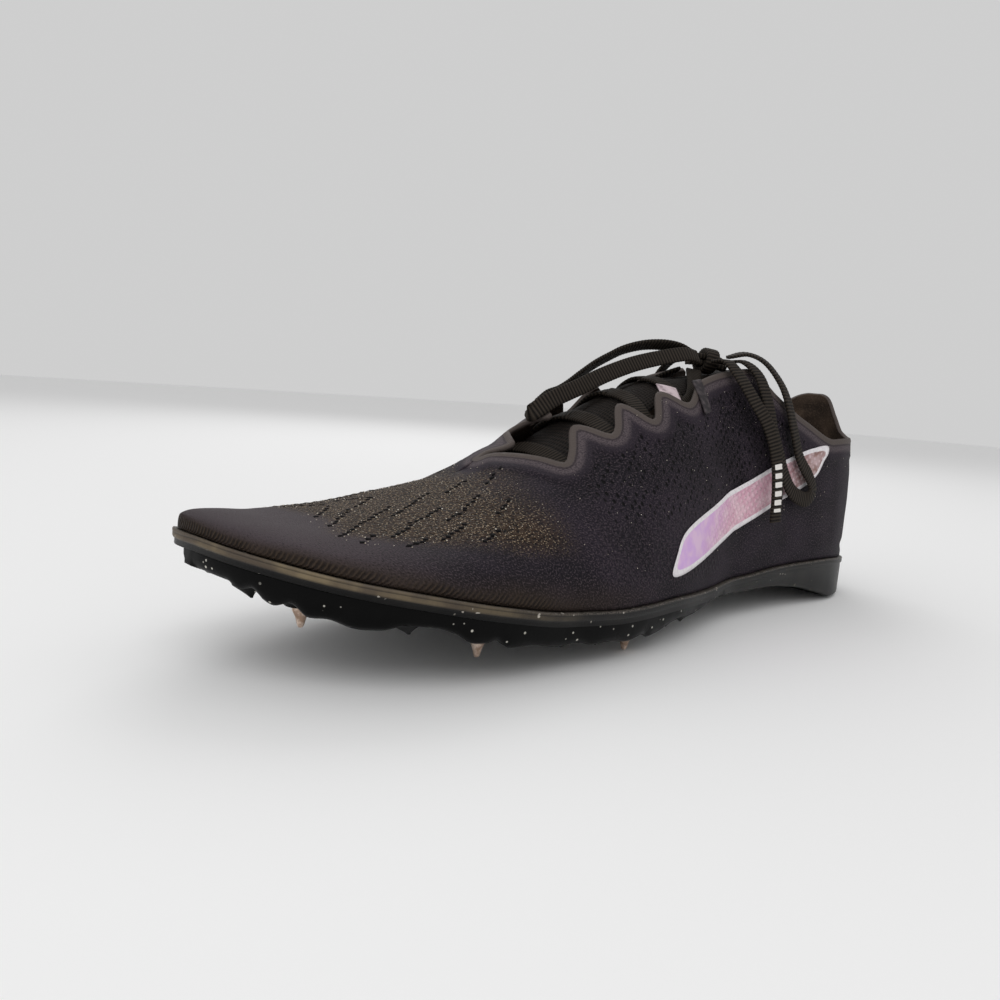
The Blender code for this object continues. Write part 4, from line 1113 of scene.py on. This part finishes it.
def throat_depth(x, rib, depth):
    """Depth of the tongue's and the lace's bed, flatter than the last in the open throat."""
    share = x / LENGTH
    sag = THROAT_SAG * blend((rib - 0.62) / 0.38) * (1 - blend((share - 0.60) / 0.08))
    top = INSTEP_SAG * blend((0.46 - share) / 0.12)
    vamp = -(LACE_THICK + SEAM_GAP) * blend((share - 0.685) / 0.03)
    return depth + sag + top + vamp


def build_tongue(look):
    """Thin mesh tongue from the ankle to under the vamp, with a bound edge."""
    stops = spread(walk_at(TONGUE_TOP * LENGTH), walk_at(TONGUE_TIP * LENGTH), 110)
    columns = 22              # on each side of the ridge
    rings, uv = [], []
    for number, stop in enumerate(stops):
        x, _ = station(stop)
        taper = 0.70 + 0.30 * blend((TONGUE_TIP - x / LENGTH) / 0.22)
        from_end = min(1.0, min(number, len(stops) - 1 - number) / 5)
        half = TONGUE_HALF * taper * (0.82 + 0.18 * math.sin(from_end * math.pi / 2))
        top, low = [], []
        for i in range(-columns, columns + 1):
            side = LATERAL if i < 0 else MEDIAL
            off = abs(i) / columns
            rib = 1 - half / rib_length(stop, side) * off
            thin = 1 - 0.45 * blend((off - 0.88) / 0.12)
            puff = 0.00025 * noise.noise(Vector((x * 160, i * 0.3, 1.0)))
            bed = throat_depth(x, rib, TONGUE_DEPTH)
            face = bed - min(puff, 0.0) + (1 - thin) * 0.0008
            across = i / columns * half
            top.append((skin(stop, side, rib, face), (x, across)))
            low.append((skin(stop, side, rib, bed + TONGUE_THICK * thin), (x, 0.1 + across)))
        ring = top + low[::-1]
        rings += [entry[0] for entry in ring]
        uv += [entry[1] for entry in ring]
    made = mesh_object("tongue_cloth", rings, sleeve_faces(len(stops), 2 * (2 * columns + 1)), (look,), uv)
    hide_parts("tongue")


def curve_through(points, spacing):
    """Points along a smooth curve through the given ones, about spacing apart."""
    padded = [points[0] * 2 - points[1]] + list(points) + [points[-1] * 2 - points[-2]]
    found = []
    for a, b, c, d in zip(padded, padded[1:], padded[2:], padded[3:]):
        count = max(1, round((c - b).length / spacing))
        for i in range(count):
            t = i / count
            found.append(0.5 * (2 * b + (c - a) * t + (2 * a - 5 * b + 4 * c - d) * t**2
                                + (3 * b - a - 3 * c + d) * t**3))
    found.append(points[-1])
    return found


def even_steps(path, normals, step):
    """The same route with its points an even step apart, and the flat side's direction at each."""
    places = [0.0]
    for a, b in zip(path, path[1:]):
        places.append(places[-1] + (b - a).length)
    count = max(2, round(places[-1] / step))
    k = 0
    found = []
    for i in range(count + 1):
        goal = places[-1] * i / count
        while k < len(places) - 2 and places[k + 1] < goal:
            k += 1
        t = (goal - places[k]) / max(places[k + 1] - places[k], 1e-9)
        found.append((path[k].lerp(path[k + 1], t), normals[k].lerp(normals[k + 1], t), goal))
    return found


# Half of the lace's section, as shares of its half width and half thickness
LACE_SECTION = ((1.0, 0.42), (0.90, 0.95), (0.45, 1.0), (-0.45, 1.0), (-0.90, 0.95), (-1.0, 0.42),
                (-1.0, -0.42), (-0.90, -0.95), (-0.45, -1.0), (0.45, -1.0), (0.90, -0.95), (1.0, -0.42))
BAR_PITCH = 0.0031        # between the plain bars printed on one end
BAR_LONG = 0.0019
BARS_FROM = 0.021         # how far from the end they start, and where they stop
BARS_TO = 0.0035


def lace_mesh(name, strips, look, width=LACE_WIDTH, thick=LACE_THICK, printed=False):
    """Woven strips as one mesh. A strip is a list of (point, flat side's direction, run in metres);
    every RIB_PITCH a rib swells across it. A printed strip carries bars near its far end."""
    points, faces, uv, ribs, ink = [], [], [], [], []
    around = len(LACE_SECTION)
    for strip in strips:
        first = len(points)
        for i, (place, normal, run) in enumerate(strip):
            ahead = strip[min(i + 1, len(strip) - 1)][0] - strip[max(i - 1, 0)][0]
            ahead.normalize()
            across = ahead.cross(normal).normalized()
            up = across.cross(ahead).normalized()
            rib = 0.5 + 0.5 * math.cos(2 * math.pi * run / RIB_PITCH)
            left = strip[-1][2] - run
            bar = printed and BARS_TO < left < BARS_FROM and left % BAR_PITCH < BAR_LONG
            fat = 0.86 + 0.14 * rib
            wide = 0.97 + 0.03 * rib
            for sx, sz in LACE_SECTION:
                points.append(place + across * (sx * width / 2 * wide) + up * (sz * thick / 2 * fat))
                uv.append((run, sx * width / 2 + (0.02 if sz < 0 else 0.0)))
                ribs.append(rib)
                ink.append(1.0 if bar and abs(sx) < 0.5 else 0.0)
        faces += [tuple(first + k for k in face) for face in sleeve_faces(len(strip), around)]
    return mesh_object(name, points, faces, (look,), uv, {"rib": ribs, "ink": ink}, merge=False)


def bed_point(share, across, lift=0.0):
    """Middle of the lace where it lies in the throat; across is 0 at the ridge, + lateral."""
    side = LATERAL if across >= 0 else MEDIAL
    rib = 1 - abs(across)
    return skin(walk_at(share * LENGTH), side, rib, throat_depth(share * LENGTH, rib, LACE_DEPTH) - lift)


def bed_normal(share, across):
    side = LATERAL if across >= 0 else MEDIAL
    walk = walk_at(share * LENGTH)
    rib = min(1 - abs(across), 0.97)
    return (skin(walk, side, rib) - skin(walk, side, rib, 0.004)).normalized()


def tail_route(side):
    return [(share, side * across, lift) for share, across, lift in TAIL]


def crossings_route():
    """Back and forth across the throat, turning under the film between one bar and the next."""
    route = []
    side = 1
    for number, share in enumerate(BARS):
        route += [(share, side * BAR_HIDE * part, 0.0) for part in (1, 0.65, 0.32, 0, -0.32, -0.65, -1)]
        if number + 1 < len(BARS):
            route.append(((share + BARS[number + 1]) / 2, -side * (BAR_HIDE + BAR_TURN), 0.0))
        side = -side
    return route


def bed_strip(route):
    stops = curve_through([Vector(stop) for stop in route], 0.012)
    return even_steps([bed_point(s.x, s.y, s.z) for s in stops], [bed_normal(s.x, s.y) for s in stops],
                      RIB_PITCH / 4)


def build_crossings(look):
    """The lace that is held in the throat: its bars, its turns under the film and two tails."""
    start = ((BARS[-1] + BARS[-2]) / 2, -CROSSING_END * (BAR_HIDE + BAR_TURN), 0.0004)
    strips = [bed_strip(crossings_route() + tail_route(CROSSING_END)),
              bed_strip([start] + tail_route(-CROSSING_END))]
    made = lace_mesh("throat_lace", strips, look)
    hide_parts("lace_crossings")


def knot_centre():
    ridge = skin(walk_at(KNOT_SHARE * LENGTH), LATERAL, 1.0,
                 throat_depth(KNOT_SHARE * LENGTH, 1.0, TONGUE_DEPTH))
    return ridge + Vector((0.0, KNOT_SIDE, KNOT_HALF + 2 * SEAM_GAP))


# Free lace: points in millimetres from the knot's centre, and the way the strip's flat side faces
LOOP_FRONT = [
    (8.6, -3, 2), (13.2, -4.5, 3.7), (19.2, -6.5, 4.2), (26.2, -9.2, 3.4), (33.2, -11.8, 1.2),
    (39.2, -13.3, -1.8), (46.2, -13.6, -5.2), (53.2, -13.0, -9), (60.2, -12.0, -12.8),
    (66.4, -11.0, -15.6), (72.6, -10.0, -17.6), (77.6, -9.2, -20), (80.6, -8.2, -22.2),
    (80.9, -6.8, -22.6), (78.6, -5.8, -20.8), (73.6, -5.0, -17.8), (67.4, -4.6, -15.2),
    (60.6, -4.4, -12.6), (53.6, -4.2, -9.6), (45.6, -3.8, -6.6), (37.2, -2.9, -3.8), (28.2, -1.5, -1.4),
    (18.7, 1, 0.8), (13.7, 2, 1.4), (9.2, 2.6, 0.8),
]
LOOP_FRONT_FACES = [
    (0, -0.6, 0.8), (0, -0.6, 0.8), (0.3, -0.7, 0.5), (0.9, 0.1, -0.4), (0.2, 0.8, 0.35),
    (0.1, 0.85, 0.5), (0, 0.8, 0.6),
]
LOOP_REAR = [
    (-7.0, 4.3, 2.0), (-12, 9, 3.6), (-16, 14.5, 1.0), (-18.8, 20, -6), (-19.3, 24, -13.5),
    (-20, 27, -23), (-23, 29, -33), (-29, 30.4, -40), (-31.5, 30.8, -45), (-27, 30.8, -48),
    (-18, 30.2, -45), (-12.5, 29, -38), (-9.0, 27.6, -29.5), (-7.2, 25.6, -22), (-6.8, 23, -13.5),
    (-6.6, 18.5, -4.5), (-5.8, 12.5, 0.2), (-4.0, 7.2, 0.2),
]
LOOP_REAR_FACES = [
    (0, 0.1, 1), (-0.2, 0.8, 0.6), (-0.1, 1, 0.15), (-0.2, 1, 0), (0, 1, 0.1), (0.1, 1, 0.25),
    (0.1, 0.5, 0.8), (0, 0.1, 1),
]
END_REAR = [
    (3.2, 6.4, -0.4), (4.0, 12.0, -0.4), (4.0, 18.5, -6.4), (2.8, 24, -14), (0.6, 28, -20.5),
    (-1.0, 30.4, -27), (-2.4, 31.8, -34), (-3.2, 32.4, -41), (-3.8, 32.6, -48), (-4.2, 32.6, -55),
]
END_REAR_FACES = [
    (0, 0.1, 1), (0.2, 0.8, 0.6), (0.2, 1, 0.2), (0.1, 1, 0), (0.1, 1, 0),
]
END_FRONT = [
    (2.0, -6.8, 0.2), (3.0, -12.0, 0.2), (3.4, -18, -4.8), (2.8, -22.6, -14), (1.6, -25.6, -22),
    (0.6, -27.8, -30), (-0.2, -29.6, -38), (-0.6, -30.8, -46), (-0.8, -31.4, -54),
]
END_FRONT_FACES = [
    (0, -0.1, 1), (0.2, -0.8, 0.6), (0.1, -1, 0.2), (0, -1, 0), (0, -1, 0),
]


def free_strip(route, turns):
    origin = knot_centre()
    path = curve_through([origin + Vector(step) * MM for step in route], 0.0008)
    hints = [Vector(turn).normalized() for turn in turns]
    normals = []
    for i in range(len(path)):
        place = i / (len(path) - 1) * (len(hints) - 1)
        k = min(int(place), len(hints) - 2)
        normals.append(hints[k].lerp(hints[k + 1], place - k).normalized())
    return even_steps(path, normals, RIB_PITCH / 4)


def build_free_lace(name, cad_node, route, turns, look, printed=False):
    """Loop or end of the bow, built as a strip of lace led from the knot."""
    strip = free_strip(route, turns)
    made = lace_mesh(name, [strip], look, printed=printed)
    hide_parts(cad_node)


def build_knot(look):
    """The bow's knot: a band wound round the strands, over a full, pressed body."""
    centre = knot_centre()
    turn = 0.5                      # the knot lies askew, its loops run forward-inward and back-outward
    along = Vector((math.cos(turn), -math.sin(turn), 0.12)).normalized()
    side = along.cross(Vector((0, 0, 1))).normalized()
    up = side.cross(along)
    wrap = []
    for i in range(97):
        angle = 2 * math.pi * i / 96 * 1.06
        out = side * math.cos(angle) * 4.9 * MM + up * math.sin(angle) * 3.6 * MM
        wrap.append((centre + out + along * (i / 96 - 0.5) * 1.4 * MM, out.normalized(), i * RIB_PITCH / 4))
    strips = [wrap]
    for height, reach, bow, droop in ((1.5, 7.0, -0.8, 1.0), (-0.9, 7.2, 0.6, 0.6)):
        through = []
        for i in range(41):
            t = i / 40 * 2 - 1
            off = along * (t * reach * MM) + up * (height - droop * t * t) * MM + side * bow * t * MM
            through.append((centre + off, up, i * RIB_PITCH / 4))
        strips.append(through)
    made = lace_mesh("bow_knot", strips, look, width=0.0050, thick=0.0022)
    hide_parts("lace_knot")
    return made


# ---- carried-over pieces ----

def dress_insole(look):
    """The insole keeps its own solid and only takes a look."""
    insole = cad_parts["insole"]
    insole.data.materials.clear()
    insole.data.materials.append(look)


# ---- stage ----

CAMERA_PLACE = Vector((0.35658, 0.18678, 0.07361))      # from the last's zero
CAMERA_TURN = (82.4726, -4.1923, 138.5023)              # degrees
CAMERA_LENS = 30.26                                     # millimetres, on a 36 mm sensor
Light = namedtuple("Light", "name place size watts")
LIGHTS = (Light("key", (0.45, 0.60, 0.95), 0.8, 3.2), Light("toe", (0.95, -0.10, 0.45), 0.6, 1.0),
          Light("back", (-0.5, -0.7, 0.8), 0.7, 2.6))


def build_stage():
    """Pale floor, white surround, soft lights and the camera at the photograph's angle."""
    bpy.ops.mesh.primitive_plane_add(size=6.0, location=(0.0, 0.0, -0.0004))
    floor = bpy.context.active_object
    floor.name = "floor"
    pale, _ = new_look("pale matt floor", "#f4f4f4", 0.9, Specular_IOR_Level=0.1)
    floor.data.materials.append(pale)
    world = bpy.data.worlds.new("surround")
    bpy.context.scene.world = world
    world.use_nodes = True
    back = world.node_tree.nodes["Background"]
    back.inputs["Color"].default_value = (1.0, 1.0, 1.0, 1.0)
    back.inputs["Strength"].default_value = 0.62
    for light in LIGHTS:
        lamp = bpy.data.lights.new(light.name, "AREA")
        lamp.size = light.size
        lamp.energy = light.watts
        holder = bpy.data.objects.new(light.name, lamp)
        holder.location = light.place
        aim = Vector((0, 0, 0.03)) - Vector(light.place)
        holder.rotation_euler = aim.to_track_quat("-Z", "Y").to_euler()
        bpy.context.scene.collection.objects.link(holder)
    lens = bpy.data.cameras.new("camera")
    lens.sensor_width = 36.0
    lens.lens = CAMERA_LENS
    lens.clip_start = 0.01
    camera = bpy.data.objects.new("camera", lens)
    camera.location = CAMERA_PLACE + ORIGIN
    camera.rotation_euler = tuple(math.radians(turn) for turn in CAMERA_TURN)
    bpy.context.scene.collection.objects.link(camera)
    bpy.context.scene.camera = camera
    bpy.context.scene.view_settings.view_transform = "Standard"


def main():
    """Every piece, in the order in which the random draws are taken."""
    build_stage()
    lace = lace_look()
    build_crossings(lace)
    knot = build_knot(lace)
    build_free_lace("bow_loop_front", "lace_loop_front", LOOP_FRONT, LOOP_FRONT_FACES, lace)
    build_free_lace("bow_loop_rear", "lace_loop_rear", LOOP_REAR, LOOP_REAR_FACES, lace)
    build_free_lace("bow_end_rear", "lace_end_rear", END_REAR, END_REAR_FACES, lace, printed=True)
    build_free_lace("bow_end_front", "lace_end_front", END_FRONT, END_FRONT_FACES, lace)
    lining = lining_look()
    build_upper(knit_film_look(), lining)
    white = plain_look("white matt ink", "#e8e4e6", 0.55, "#d8d0d6", 900.0)
    build_badge(badge_look(), white)
    # pale painted glints: highlights along the slots and the vamp's grains that catch the light
    glint_bead = plain_look("pale painted glint", "#b9ad9c", 0.35, "#e9e2d6", 900.0)
    thread = plain_look("black nylon thread", "#060507", 0.8, "#141114", 900.0, Specular_IOR_Level=0.1)
    build_slits(thread, glint_bead)
    build_flecks(glint_bead)
    wall_patch("eyelet_label", ((134, 0.645), (126, 0.60), (125, 0.70), (132, 0.76)), -1.1 * MM, 0.4 * MM,
               plain_look("pinkish reflective label", "#cbb9be", 0.45, "#8e7c82", 400.0))
    wall_patch("eyelet_tab", ((118, 0.70), (113, 0.70), (115, 0.545), (119, 0.54)), 0.75 * MM, 0.5 * MM,
               plain_look("black film tab", "#272225", 0.55, "#4a4244", 600.0, Specular_IOR_Level=0.25))
    build_tongue(mesh_cloth_look())
    build_midsole(foam_look())
    build_plate(plate_look())
    dress_insole(lining)
    build_pins(steel_look())


main()
